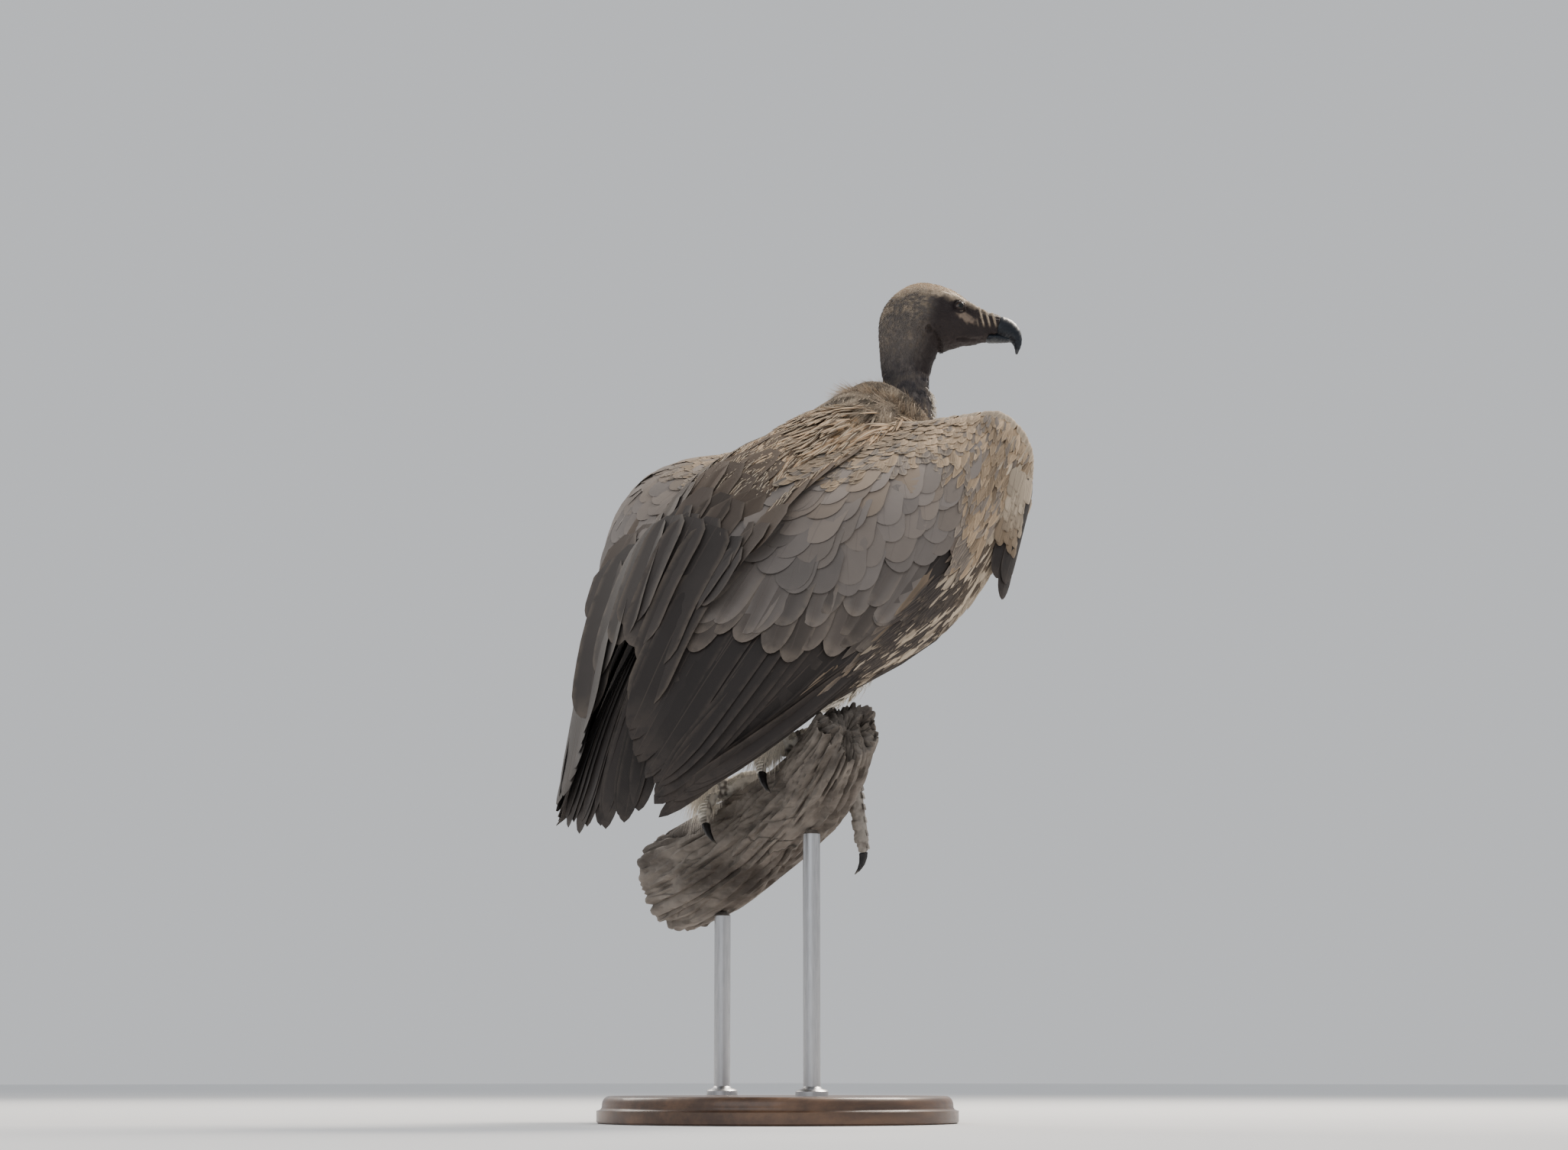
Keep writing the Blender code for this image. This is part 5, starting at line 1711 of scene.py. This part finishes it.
def wing_streaks(coat, hand, side, seed):
    """Long narrow feathers down the leading edge, pale above and darker below."""
    surface = WINGS[side]
    rows, count = 19, 21
    for k in range(rows):
        v = (rows - 1 - k) / (rows - 1)
        source = random_source(seed + 90 + k)
        s = spaced(count, 0.66 + 0.09 * smoothstep(0.2, 0.6, v), HAND_END, seed + 20 + k, 0.9)
        root = np.maximum(v * 0.50 + source.uniform(-0.014, 0.014, count), 0.014)
        small = 0.60 + 0.40 * smoothstep(0.0, 0.10, root)
        pale = 0.72 - 0.66 * v + 0.15 * smoothstep(0.86, 1.0, s)
        pale = np.where(source.uniform(0, 1, count) < pale, source.uniform(0.55, 1.0, count), 0.0)
        dark = mix(COVERT_BUFF * 0.30, FLIGHT_BROWN * 1.8, np.full(count, min(1.0, v * 1.6)))
        lay_vanes(coat, surface, s, root, (0.038 + 0.030 * v) * small, 0.0033 * small, LANCE,
                  mix(dark, WING_PALE * 1.05, pale), seed + 110 + k, 0.0, (-0.0006, 0.0014), 0.20,
                  hand * 0.06, 0.0004, ragged=0.20, chart=(0.0, 1.1, 0.0, 1.1, 0.0, 0.5))
    surface = WRAPPED[side]
    count = 760
    a, b = scatter(count, 0.955, 1.22, -0.01, 0.60, seed + 7)
    dark = smoothstep(0.06, 0.40, b) * random_source(seed + 8).uniform(0.4, 1, count)
    lay_vanes(coat, surface, a, b, 0.028, 0.0034, LANCE, mix(WING_PALE * 0.85, GREATER_BROWN * 1.2, dark),
              seed + 9, 0.0, (-0.0008, 0.0010), 0.2, 0.0, 0.0003, ragged=0.15,
              chart=(0.9, 1.2, 0.0, 0.7, 0.5, 1.0))


class Rim(Surface):
    """The wing's rounded upper rim: b runs from the middle of the rim, at 0, down one side."""

    def __init__(self, side, hand, inner):
        self.wing = WINGS[side]
        self.inner = inner
        super().__init__(self.rim_place, hand * (-1.0 if inner else 1.0), 0.01)

    def rim_place(self, a, b):
        t = np.maximum(b - 1.0, 0.0) * 0.022
        base = self.wing.place(a, t)
        normal = self.wing.normal(a, np.maximum(t, 0.005))
        thick = wing_thickness(a, t)[..., None]
        up = -unit(self.wing.slopes(a, np.maximum(t, 0.005))[1])
        angle = (np.clip(1.0 - b, 0.0, 1.5) * math.pi / 2)[..., None]
        face = -1.0 if self.inner else 1.0
        return base + (normal * (face * np.cos(angle) - 1.0) + up * np.sin(angle)) * thick * 0.5


def wing_edges(coat, hand, side, seed):
    """Small coverts over the upper rim and on the inner side."""
    for inner, (low, count, reach, pale, wrist, shape) in enumerate((
        (0.0, 560, 1.8, COVERT_BUFF, 0.0, ROUND), (0.28, 510, 5.0, WING_PALE, 1.0, LANCE),
    )):
        a, b = scatter(count, low, 1.0, -0.45, reach, seed + inner)
        tint = varied(pale * 0.9, count, seed + 2, 0.25)
        tint = mix(tint, COVERT_BUFF * 0.75, smoothstep(0.74, 0.90, a) * wrist)
        tint = mix(tint, WING_PALE * 0.9, smoothstep(0.9, 0.3, b) * 0.8)
        size = 0.55 + 0.45 * smoothstep(0.6, 2.0, b)
        half = 0.0062 * (size * (1.0 - 0.45 * smoothstep(0.72, 0.86, a)))
        lay_vanes(coat, Rim(side, hand, bool(inner)), a, b, 0.024 * size, half, shape, tint, seed + 3 + inner,
                  0.0, (-0.0012, 0.0012 * size - 0.0004), 0.15, 0.0, 0.0003, ragged=0.15,
                  chart=(0.0, 1.0, -1.0, 6.0) + half_map(1 - inner))
    count = 500
    a, b = scatter(count, 1.12, 2.04, 0.02, 0.46, seed + 10)
    wide = smoothstep(1.30, 1.80, a)
    lay_vanes(coat, WRAPPED[side], a, b, 0.028 + 0.012 * wide, 0.0050 + 0.0054 * wide, LANCE,
              varied(WING_PALE * 0.8, count, seed + 11, 0.2), seed + 12, 0.0, (0.0002, 0.0026), 0.08, 0.0,
              0.0004, ragged=0.12, chart=(1.1, 2.1, 0.0, 0.7, 0.5, 1.0))


def alula_surface(hand):
    root = np.array((0.171, hand * 0.1660, 0.608))
    tip = np.array((0.121, hand * 0.1735, 0.494))
    across = np.array((0.908, 0.0, -0.418))

    def place(a, b):
        bow = np.array((0.0, hand * 0.004, 0.0)) * (1 - (a ** 2))[..., None]
        return root + (tip - root) * b[..., None] + across * (a * 0.021)[..., None] + bow

    return Surface(place, hand)


def wing_alula(coat, hand, side, seed):
    """The four feathers of the thumb, and small coverts over their roots."""
    surface = alula_surface(hand)
    a = np.array((0.22, -0.02, -0.28, -0.55))
    b = np.array((-0.10, -0.06, 0.0, 0.06))
    tip = np.array((0.84, 0.98, 0.90, 0.74))
    lift = (np.array((0.001, 0.0, -0.001, -0.002)), np.array((0.002, 0.001, 0.0, -0.001)))
    lay_vanes(coat, surface, a, b, length_to(surface, a, b, tip), 0.0098, FLIGHT,
              varied(FLIGHT_BROWN * 1.25, 4, seed), seed + 1, 0.0, lift, 0.2, 0.0, 0.0006, FLIGHT_STEPS,
              chart=ALULA_CHART)
    count = 46
    a, b = scatter(count, -0.8, 0.25, -0.12, 0.42, seed + 2)
    tint = mix(WING_PALE * 0.8, COVERT_BUFF * 0.4, smoothstep(0.0, 0.45, b))
    lay_vanes(coat, surface, a, b, 0.028, 0.0055, ROUND, varied(tint, count, seed, 0.2), seed + 3, 0.0,
              (0.0010, 0.0028), 0.3, 0.0, 0.0004, ragged=0.12, chart=ALULA_CHART)


def make_wings():
    looks = {kind: feather_material(kind) for kind in ("flight", "great", "median", "lesser", "hand")}
    for hand, side in SIDES:
        first = 100 if hand > 0 else 500
        for name, look, slot, layers, parts in (
            ("remiges_", "flight", "feather_flight", ((wing_flight, 0),),
             ("wing_secondaries_", "wing_primaries_")),
            ("coverts_great_", "great", "feather_covert", ((wing_great, 40),), ()),
            ("coverts_median_", "median", "feather_covert", ((wing_median, 80),), ()),
            ("coverts_lesser_", "lesser", "feather_covert", ((wing_lesser, 120), (wing_edges, 300)), ()),
            ("coverts_hand_", "hand", "feather_covert", ((wing_streaks, 120),), ()),
            ("alula_feathers_", "flight", "feather_flight", ((wing_alula, 350),), ("alula_",)),
        ):
            coat = Coat()
            for lay, seed in layers:
                lay(coat, hand, side, first + seed)
            coat.build(name + side, looks[look], slot, [part + side for part in parts])


# ---- back, tail and underparts ----

TERTIALS = 7


def make_back():
    """Scapulars, tertials and the mantle's streaked feathers between the wings."""
    coat = Coat()
    chart = (-0.3, 1.3, 0.0, 1.0, 0.0, 1.0)
    a = np.array((-0.02, 0.14, 0.32, 0.50, 0.68, 0.86, 1.02))
    b = np.full(TERTIALS, 0.50)
    tip = np.array((0.93, 0.86, 0.80, 0.78, 0.80, 0.86, 0.93))
    top = np.abs(a - 0.5)
    lay_vanes(coat, BACK, a, b, length_to(BACK, a, b, tip), 0.023, FLIGHT,
              varied(SCAPULAR_BROWN * 0.8, TERTIALS, 3), 4, 0.0, (-0.004 + 0.004 * top, 0.001 + 0.006 * top),
              0.12, 0.0, 0.0006, FLIGHT_STEPS, chart=chart)
    for k in range(6):
        count = 11 - (k % 2)
        a = spaced(count, -0.22, 1.22, 10 + k, 0.3)
        tip = 0.70 - 0.078 * k - 0.05 * np.sin(np.clip(a, 0, 1) * math.pi)
        tip = tip + 0.020 * random_source(15 + k).uniform(-1, 1, count)
        b = tip - 0.17
        tint = mix(SCAPULAR_BROWN, MANTLE_BUFF * 0.45, np.full(count, 0.12 * k))
        lay_vanes(coat, BACK, a, b, length_to(BACK, a, b, tip), 0.0175 - 0.0012 * k, BROAD,
                  varied(tint, count, 20 + k, 0.2), 30 + k, 0.0, (-0.001 + 0.0006 * k, 0.0026 + 0.0006 * k),
                  0.14, 0.0, 0.0005, BROAD_STEPS, ragged=0.10, chart=chart)
    coat.build("scapulars", feather_material("scapular"), "feather_mantle")

    coat = Coat()
    for area, surface, lift, shade, part in (
        ((2100, -0.13, 1.13, 0.00, 0.38, 50), BACK, (0.0005, 0.0042), 0.9, 1),
        ((2300, 0.51, 0.99, 0.02, 0.45, 53), TRUNK, (-0.002, 0.0028), 0.4, 0),
    ):
        seed = area[-1]
        a, b = shingled(*area)
        if surface is TRUNK:
            keep = free_roots(surface, a, b, 0.0, 0.0003)
            a, b = a[keep], b[keep]
        gold = random_source(seed + 1).uniform(0, 1, len(a))
        tint = mix(MANTLE_BUFF * 0.42, MANTLE_BUFF * 1.75, smoothstep(0.35, 0.85, gold))
        tint = mix(tint, SCAPULAR_BROWN * 1.4, smoothstep(0.12, 0.36, b) * shade)
        sway = 0.5 * noise_at(surface.place(a, b), 30.0, 2.0)
        lay_vanes(coat, surface, a, b, 0.030 + 0.012 * gold, 0.0025, LANCE, tint, seed + 2, sway, lift, 0.2,
                  0.0, 0.0003, SLIM_STEPS, ragged=0.22, chart=area[1:5] + half_map(part))
    coat.build("mantle", feather_material("mantle"), "feather_mantle")


def make_tail():
    """Twelve tail feathers under short dark coverts, and pale feathers beneath."""
    coat = Coat()
    count = 12
    a = (np.arange(count) + 0.5) / count + np.tile((0.018, 0.0, -0.018), 4)
    b = np.full(count, 0.04)
    tip = 0.985 - 0.06 * (2 * a - 1) ** 2 + np.tile((-0.012, 0.015, -0.012), 4)
    top = 1.0 - np.abs(2 * a - 1)
    lay_vanes(coat, TAIL, a, b, length_to(TAIL, a, b, tip), 0.0140, FLIGHT, varied(FLIGHT_BROWN, count, 60),
              61, 0.0, (-0.002 + 0.003 * top, 0.004 * top), 0.15, 0.0, 0.0006, FLIGHT_STEPS, ragged=0.01,
              chart=(0.0, 1.0, 0.0, 1.0, 0.0, 0.5))
    a, b = scatter(60, 0.0, 1.0, -0.10, 0.30, 62)
    lay_vanes(coat, TAIL, a, b, 0.055, 0.0120, BROAD, varied(SCAPULAR_BROWN, 60, 63, 0.2), 64, 0.0,
              (0.002, 0.007), 0.2, 0.0, 0.0005, chart=(0.0, 1.0, -0.2, 0.4, 0.5, 1.0))
    coat.build("rectrices", feather_material("tail"), "feather_flight", ["tail"])

    under = Surface(lambda a, b: tail_place(a, b) - unit(TAIL_FACE) * 0.009)
    coat = Coat()
    a, b = scatter(110, 0.02, 0.98, -0.14, 0.42, 65)
    lay_vanes(coat, under, a, b, 0.050, 0.0100, LANCE, varied(LEG_WHITE * 0.62, 110, 66, 0.2), 67, 0.0,
              (-0.002, 0.004), 0.2, 0.0, 0.0005, ragged=0.12)
    coat.build("vent_feathers", feather_material("vent"), "feather_white")


def make_underparts():
    """Streaked lanceolate feathers over breast, flanks and belly."""
    material = feather_material("breast")
    for k, (name, count, low, high) in enumerate((("breast", 1050, 0.0, 0.42), ("belly", 760, 0.42, 0.88))):
        coat = Coat()
        a, b = shingled(count, -0.06, 0.56, low, high, 70 + k)
        keep = free_roots(TRUNK, a, b, 0.04) & belly_limit(a, b)
        a, b = a[keep], b[keep]
        tint = mix(BREAST_BROWN, LEG_WHITE * 0.6, smoothstep(0.45, 0.85, b))
        lay_vanes(coat, TRUNK, a, b, 0.036 + 0.012 * b, 0.0058 + 0.003 * b, LANCE,
                  varied(tint, len(a), 72 + k, 0.22), 74 + k, 0.0, (-0.003, 0.0016), 0.28, 0.0, 0.0004,
                  ragged=0.15, chart=(-0.1, 0.6, low, high, 0.0, 1.0))
        coat.build("underparts_" + name, material, "feather_mantle")
    make_shoulders(material)
    make_body_down()


def dome_place(a, b, radii, centre):
    """The rounded front of a body part: a from right to left, b downward."""
    round_it = (a - 0.5) * 2.6
    fall = (0.5 - b) * 2.4
    flat = np.cos(fall)
    return np.stack([np.cos(round_it) * flat, np.sin(round_it) * flat, np.sin(fall)], -1) * radii + centre


def crop_place(a, b):
    return dome_place(a, b, (0.065, 0.088, 0.096), (0.152, 0.0, 0.615))


def make_shoulders(material):
    """Brown feathers over the upper arm, between breast and wing."""
    coat = Coat()
    for hand, side in SIDES:
        surface = Tube(
            ((0.172, hand * 0.112, 0.628), 0.016, 0.028),
            ((0.145, hand * 0.104, 0.620), 0.032, 0.050),
            ((0.085, hand * 0.100, 0.588), 0.036, 0.056),
            ((0.010, hand * 0.096, 0.545), 0.032, 0.046),
            ((-0.050, hand * 0.088, 0.505), 0.016, 0.026),
        )
        a, b = shingled(420, 0.0, 1.0, 0.06, 0.80, 130)
        keep = clear_of(surface.place(a, b), ["trunk", "wing_coverts_" + side], 0.001)
        a, b = a[keep], b[keep]
        lay_vanes(coat, surface, a, b, 0.040, 0.0062, LANCE, varied(BREAST_BROWN * 1.1, len(a), 131, 0.25),
                  132 + int(hand), 0.0, (-0.004, 0.002), 0.28, 0.0, 0.0004, ragged=0.18,
                  chart=(0.0, 1.0, -0.1, 1.0) + half_map(hand))
        chart = (0.0, 1.0, 0.0, 1.0) + half_map(hand)
        cap = Surface(lambda a, b: dome_place(a, b, (0.033, 0.036, 0.062), (0.148, hand * 0.106, 0.606)))
        count = 230
        a, b = shingled(count, 0.02, 0.98, -0.05, 0.56, 134)
        lay_vanes(coat, cap, a, b, 0.030, 0.0050, LANCE, varied(BREAST_BROWN * 1.1, count, 135, 0.35), 136,
                  0.0, (-0.003, 0.0016), 0.28, 0.0, 0.0004, SLIM_STEPS, ragged=0.2, chart=chart)
        count = 640
        a, b = scatter(count, 0.52, 0.98, 0.0, 0.45, 137)
        lay_down(coat, surface, a, b, 0.022, 0.0005, varied(BREAST_BROWN * 1.3, count, 138, 0.3), 139, 0.0,
                 0.10, 0.004, 0.5, chart)
    coat.build("shoulder_feathers", material, "feather_mantle")


def make_body_down():
    """Short hair-like feathers over the crop, and loose fluff under the belly."""
    coat = Coat()
    count = 3800
    a, b = scatter(count, 0.20, 0.80, 0.02, 0.80, 140)
    rim = np.hypot((a - 0.5) / 0.30, (b - 0.40) / 0.40)
    keep = random_source(145).uniform(0, 1, count) < 1.15 - smoothstep(0.45, 1.0, rim)
    a, b = a[keep], b[keep]
    streak = noise_at(crop_place(a, b) * (1.0, 1.0, 0.3), 150.0, 2.0)
    tint = mix(BREAST_BROWN * 0.65, BREAST_BROWN * 1.7, smoothstep(-0.35, 0.5, streak))
    lay_down(coat, Surface(crop_place), a, b, 0.015, 0.00048, tint, 141, 0.0, 0.12, 0.0015, 0.5,
             (0.2, 0.8, 0.0, 0.8, 0.0, 0.4))
    a, b = scatter(4200, -0.02, 0.52, 0.45, 0.93, 142)
    keep = belly_limit(a, b)
    a, b = a[keep], b[keep]
    lay_down(coat, TRUNK, a, b, 0.020, 0.00050, varied(LEG_WHITE * 0.85, len(a), 143, 0.2), 144, 0.0, 0.16,
             0.006, 0.5, (0.0, 0.5, 0.4, 1.0, 0.45, 1.0))
    coat.build("body_down", down_material("body"), "feather_mantle")


def thigh_surface(side, hand):
    ankle = ankle_of(side)
    return Tube(
        ((0.034, hand * 0.050, 0.530), 0.020, 0.030),
        ((0.020, hand * 0.060, 0.500), 0.030, 0.045),
        ((0.005, hand * 0.068, 0.470), 0.046, 0.062),
        ((-0.025, hand * 0.068, 0.435), 0.042, 0.056),
        (ankle + (-0.004, 0.0, 0.020), 0.030, 0.036),
        (ankle + (-0.012, 0.0, -0.012), 0.021, 0.024),
        (ankle + (-0.020, 0.0, -0.036), 0.006, 0.008),
    )


def shank_curtain(side, shift):
    """Upright sheet under the shank, from which loose fluff hangs."""
    foot = FEET[side]
    ankle = ankle_of(side)
    pad = foot.around(foot.turn, PAD_HEIGHT)

    def place(a, b):
        line = ankle + (pad - ankle) * (0.05 + 0.80 * a)[..., None]
        return line + np.array((0.0, shift, 0.0)) - UP * (0.05 * b)[..., None]

    return Surface(place)


def make_trousers():
    """Lanceolate feathers over each thigh, and fluff that hangs from thigh and shank."""
    material = feather_material("trousers")
    fluff = down_material("trousers", 0.9, 0.4, 0.9)
    for hand, side in SIDES:
        surface = thigh_surface(side, hand)
        coat = Coat()
        a, b = shingled(1000, 0.0, 1.0, 0.04, 0.92, 80)
        keep = free_roots(surface, a, b, 0.02, 0.0005)
        a, b = a[keep], b[keep]
        tint = mix(LEG_WHITE * 0.75, LEG_WHITE, smoothstep(0.4, 0.8, b))
        lay_vanes(coat, surface, a, b, 0.034, 0.0058, LANCE, varied(tint, len(a), 81), 82 + int(hand), 0.0,
                  (-0.005, 0.0012), 0.3, 0.0, 0.0004, ragged=0.2)
        coat.build("trousers_" + side, material, "feather_white", ["thigh_" + side])
        coat = Coat()
        count = 3400
        a, b = scatter(count, 0.0, 1.0, 0.22, 0.975, 85)
        length = 0.018 + 0.014 * bell(b, 0.83, 0.13)
        lay_down(coat, surface, a, b, length, 0.00040, varied(LEG_WHITE * 1.1, count, 86), 87 + int(hand),
                 0.0, 0.22, 0.002, 0.6)
        count = 780
        for shift in (-0.007, 0.0, 0.007):
            curtain = shank_curtain(side, shift)
            a, b = scatter(count, 0.0, 1.0, -0.25, 0.10, 88)
            a = a ** 0.6
            uneven = 0.6 + noise_at(curtain.place(a, b), 90.0, 2.0)
            length = 0.030 + 0.024 * np.sin(a ** 2 * math.pi) * uneven
            lay_down(coat, curtain, a, b, length, 0.00044, varied(LEG_WHITE * 1.3, count, 89, 0.1),
                     92 + int(hand), 0.25, 0.03, 0.0, 0.35, (0.0, 1.0, -0.3, 1.0, 0.0, 1.0))
        coat.build("trouser_down_" + side, fluff, "feather_white")


# ---- ruff, neck and head ----

def nape_mound():
    """Low mound behind the neck: a round the nape from right to left, b away from the neck."""

    def place(a, b):
        turn = (math.radians(250.0) - math.radians(160.0) * a)[..., None]
        b = b[..., None]
        out = RUFF_AHEAD * np.cos(turn) + LEFT * np.sin(turn)
        ends = 1.0 - (smoothstep(-0.05, 0.20, a) * smoothstep(1.05, 0.80, a))[..., None]
        reach = 0.026 + (0.062 - 0.022 * ends) * b
        height = 0.027 + 0.017 * np.sin(turn) + 0.008 * b - 0.100 * np.maximum(b - 0.35, 0.0) ** 1.5
        return RUFF_CENTRE + out * reach + RUFF_RISE * (height - (0.010 + 0.018 * b) * ends)

    return Surface(place, -1.0)


def make_ruff():
    """Soft collar: fine down under narrow wispy feathers, longest at the nape."""
    fluff = down_material("ruff", 0.92, 0.25, 0.6)
    chart = (0.0, 1.0, -0.1, 0.6, 0.0, 1.0)
    coat = Coat()
    a, b = scatter(10500, 0.0, 1.0, -0.12, 0.52, 90)
    nape = 0.5 - 0.5 * np.cos(a * TAU)
    place = ruff_place(a, b)
    clump = noise_at(place, 75.0, 1.0)
    tint = mix(BUFF * 0.55, BUFF * 1.45, smoothstep(-0.30, 0.25, clump))
    tint = mix(tint, LEG_WHITE * 0.9, (1 - smoothstep(0.0, 0.18, nape)) * 0.7)
    length = (0.011 + 0.009 * nape) * (0.75 + 0.7 * smoothstep(-0.3, 0.4, clump))
    turn = math.pi + 1.6 * noise_at(place, 60.0, 4.0)
    lean = 0.30 + 0.25 * np.maximum(clump, 0)
    lay_down(coat, RUFF, a, b, length, 0.00038, tint, 91, turn, lean, 0.004, 0.5, chart)
    coat.build("ruff_down", fluff, "down_pale", ["ruff"])
    mound = nape_mound()
    coat = Coat()
    a, b = scatter(8200, -0.04, 1.04, -0.12, 0.97, 192)
    place = mound.place(a, b)
    clump = noise_at(place, 70.0, 6.0)
    pale = smoothstep(-0.35, 0.30, clump) * (0.35 + 0.65 * smoothstep(-0.05, 0.30, b))
    length = (0.016 + 0.010 * smoothstep(0.0, 0.4, b)) * (0.8 + 0.5 * smoothstep(-0.3, 0.4, clump))
    turn = 1.8 * noise_at(place, 55.0, 4.0)
    lean = 0.20 + 0.30 * np.maximum(clump, 0) * (1 - smoothstep(0.4, 0.8, b))
    lay_down(coat, mound, a, b, length, 0.00042, mix(BUFF * 0.42, BUFF * 1.35, pale), 193, turn, lean, 0.002,
             0.6, (-0.1, 1.1, -0.15, 1.0, 0.0, 1.0))
    coat.build("nape_down", fluff, "down_pale")
    coat = Coat()
    source = random_source(92)
    for count, low, high, length, half, height in (
        (420, 0.0, 0.46, 0.017, 0.0010, 0.003),
        (200, 0.02, 0.40, 0.024, 0.0008, 0.008),
    ):
        a, b = scatter(count, 0.0, 1.0, low, high, 93 + count)
        nape = 0.5 - 0.5 * np.cos(a * TAU)
        pale = np.clip(0.5 + 0.6 * source.uniform(-1, 1, count), 0, 1)
        turn = math.pi + 1.6 * noise_at(ruff_place(a, b), 60.0, 4.0)
        lay_vanes(coat, RUFF, a, b, length * (0.6 + 0.6 * nape), half, LANCE,
                  mix(BUFF * 0.50, BUFF * 1.30, pale), 94 + count, turn,
                  (-0.004, height * (0.4 + 0.8 * nape)), 0.3, 0.0, 0.0003, ragged=0.35, chart=chart)
    for count, high, length, half, top in (
        (520, 0.95, 0.026, 0.0010, 0.003),
        (300, 0.50, 0.036, 0.0007, 0.018),
    ):
        a, b = scatter(count, 0.0, 1.0, 0.0, high, 196 + count)
        turn = 1.8 * noise_at(mound.place(a, b), 55.0, 4.0)
        pale = np.clip(0.5 + 0.7 * source.uniform(-1, 1, count), 0, 1)
        lay_vanes(coat, mound, a, b, length * source.uniform(0.7, 1.3, count), half, LANCE,
                  mix(BUFF * 0.55, BUFF * 1.5, pale), 197 + count, turn, (-0.002, top), 0.3, 0.0, 0.0003,
                  ragged=0.30, chart=chart)
    coat.build("ruff_wisps", feather_material("ruff"), "down_pale")


def make_neck_down():
    """Short dark down round the neck, and pale tufts in rows down the throat."""
    chart = (0.0, 1.0, 0.2, 1.0, 0.0, 1.0)
    coat = Coat()
    count = 17000
    a, b = scatter(count, 0.0, 1.0, 0.28, 1.0, 100)
    place = NECK.tube_place(a, b)
    keep = noise_at(place, 110.0, 3.0) + 0.4 * noise_at(place, 320.0, 8.0) > -0.22
    throat = bell((a - 0.68 + 0.5) % 1.0, 0.5, 0.14)
    keep &= random_source(101).uniform(0, 1, count) > 0.75 * throat
    a, b, place = a[keep], b[keep], place[keep]
    light = smoothstep(0.05, 0.6, noise_at(place, 110.0, 3.0)) * (0.25 + 0.5 * smoothstep(0.8, 0.5, b))
    tint = mix(neck_tint(place) * 1.35, BUFF * 0.75, light)
    lay_down(coat, NECK, a, b, 0.0050, 0.00020, tint, 102, math.pi, 0.18, 0.0014, 0.7, chart)
    coat.build("neck_down", down_material("neck", 0.9, 0.2, 0.7), "down_pale")
    source = random_source(103)
    coat = Coat()
    count, rows = 560, 18
    a = 0.664 + 0.055 * source.normal(0, 1, count)
    b = source.uniform(0.22, 0.74, count)
    b = np.round(b * rows) / rows + 0.013 * source.normal(0, 1, count)
    length = 0.0110 * source.uniform(0.6, 1.2, count)
    lay_down(coat, NECK, a, b, length, 0.00042, varied(LEG_WHITE * 1.1, count, 104, 0.2), 105, math.pi, 0.40,
             0.0010, 0.9, chart)
    coat.build("throat_tufts", down_material("throat", 0.9, 0.2, 0.8), "feather_white")


def make_head_down():
    """Short down, dense on crown and nape, sparse on the cheek, none on the bare face."""
    coat = Coat()
    count = 26000
    a, b = scatter(count, 0.0, 1.0, 0.02, 0.86, 110)
    place = HEAD.place(a, b)
    x, y, _ = head_frame(place)
    crown = smoothstep(-0.003, 0.003, y - brow_line(x))
    bare = smoothstep(0.004, 0.026, x - 0.25 * (y - 0.01))
    wanted = np.maximum(crown, 1.0 - 0.90 * bare)
    wanted = wanted * (1.0 - 0.25 * smoothstep(-0.2, 0.3, -noise_at(place, 160.0)))
    for hand, _ in SIDES:
        wanted = np.where(np.linalg.norm(place - eye_centre(hand), axis=-1) < BARE_ORBIT, 0.0, wanted)
    keep = random_source(111).uniform(0, 1, count) < wanted
    a, b, x, place = a[keep], b[keep], x[keep], place[keep]
    length = 0.0048 - 0.0020 * smoothstep(0.01, 0.06, x)
    lay_down(coat, HEAD, a, b, length, 0.00020, head_tint(place) * 1.22, 112, math.pi, 0.20, 0.0012, 0.7)
    coat.build("head_down", down_material("head", 0.9, 0.2, 0.75), "down_pale")


def main():
    make_camera()
    make_studio()
    make_skin()
    make_eyes()
    make_bill()
    make_claws()
    make_scutes()
    make_perch()
    make_stand()
    make_wings()
    make_back()
    make_tail()
    make_underparts()
    make_trousers()
    make_ruff()
    make_neck_down()
    make_head_down()


main()
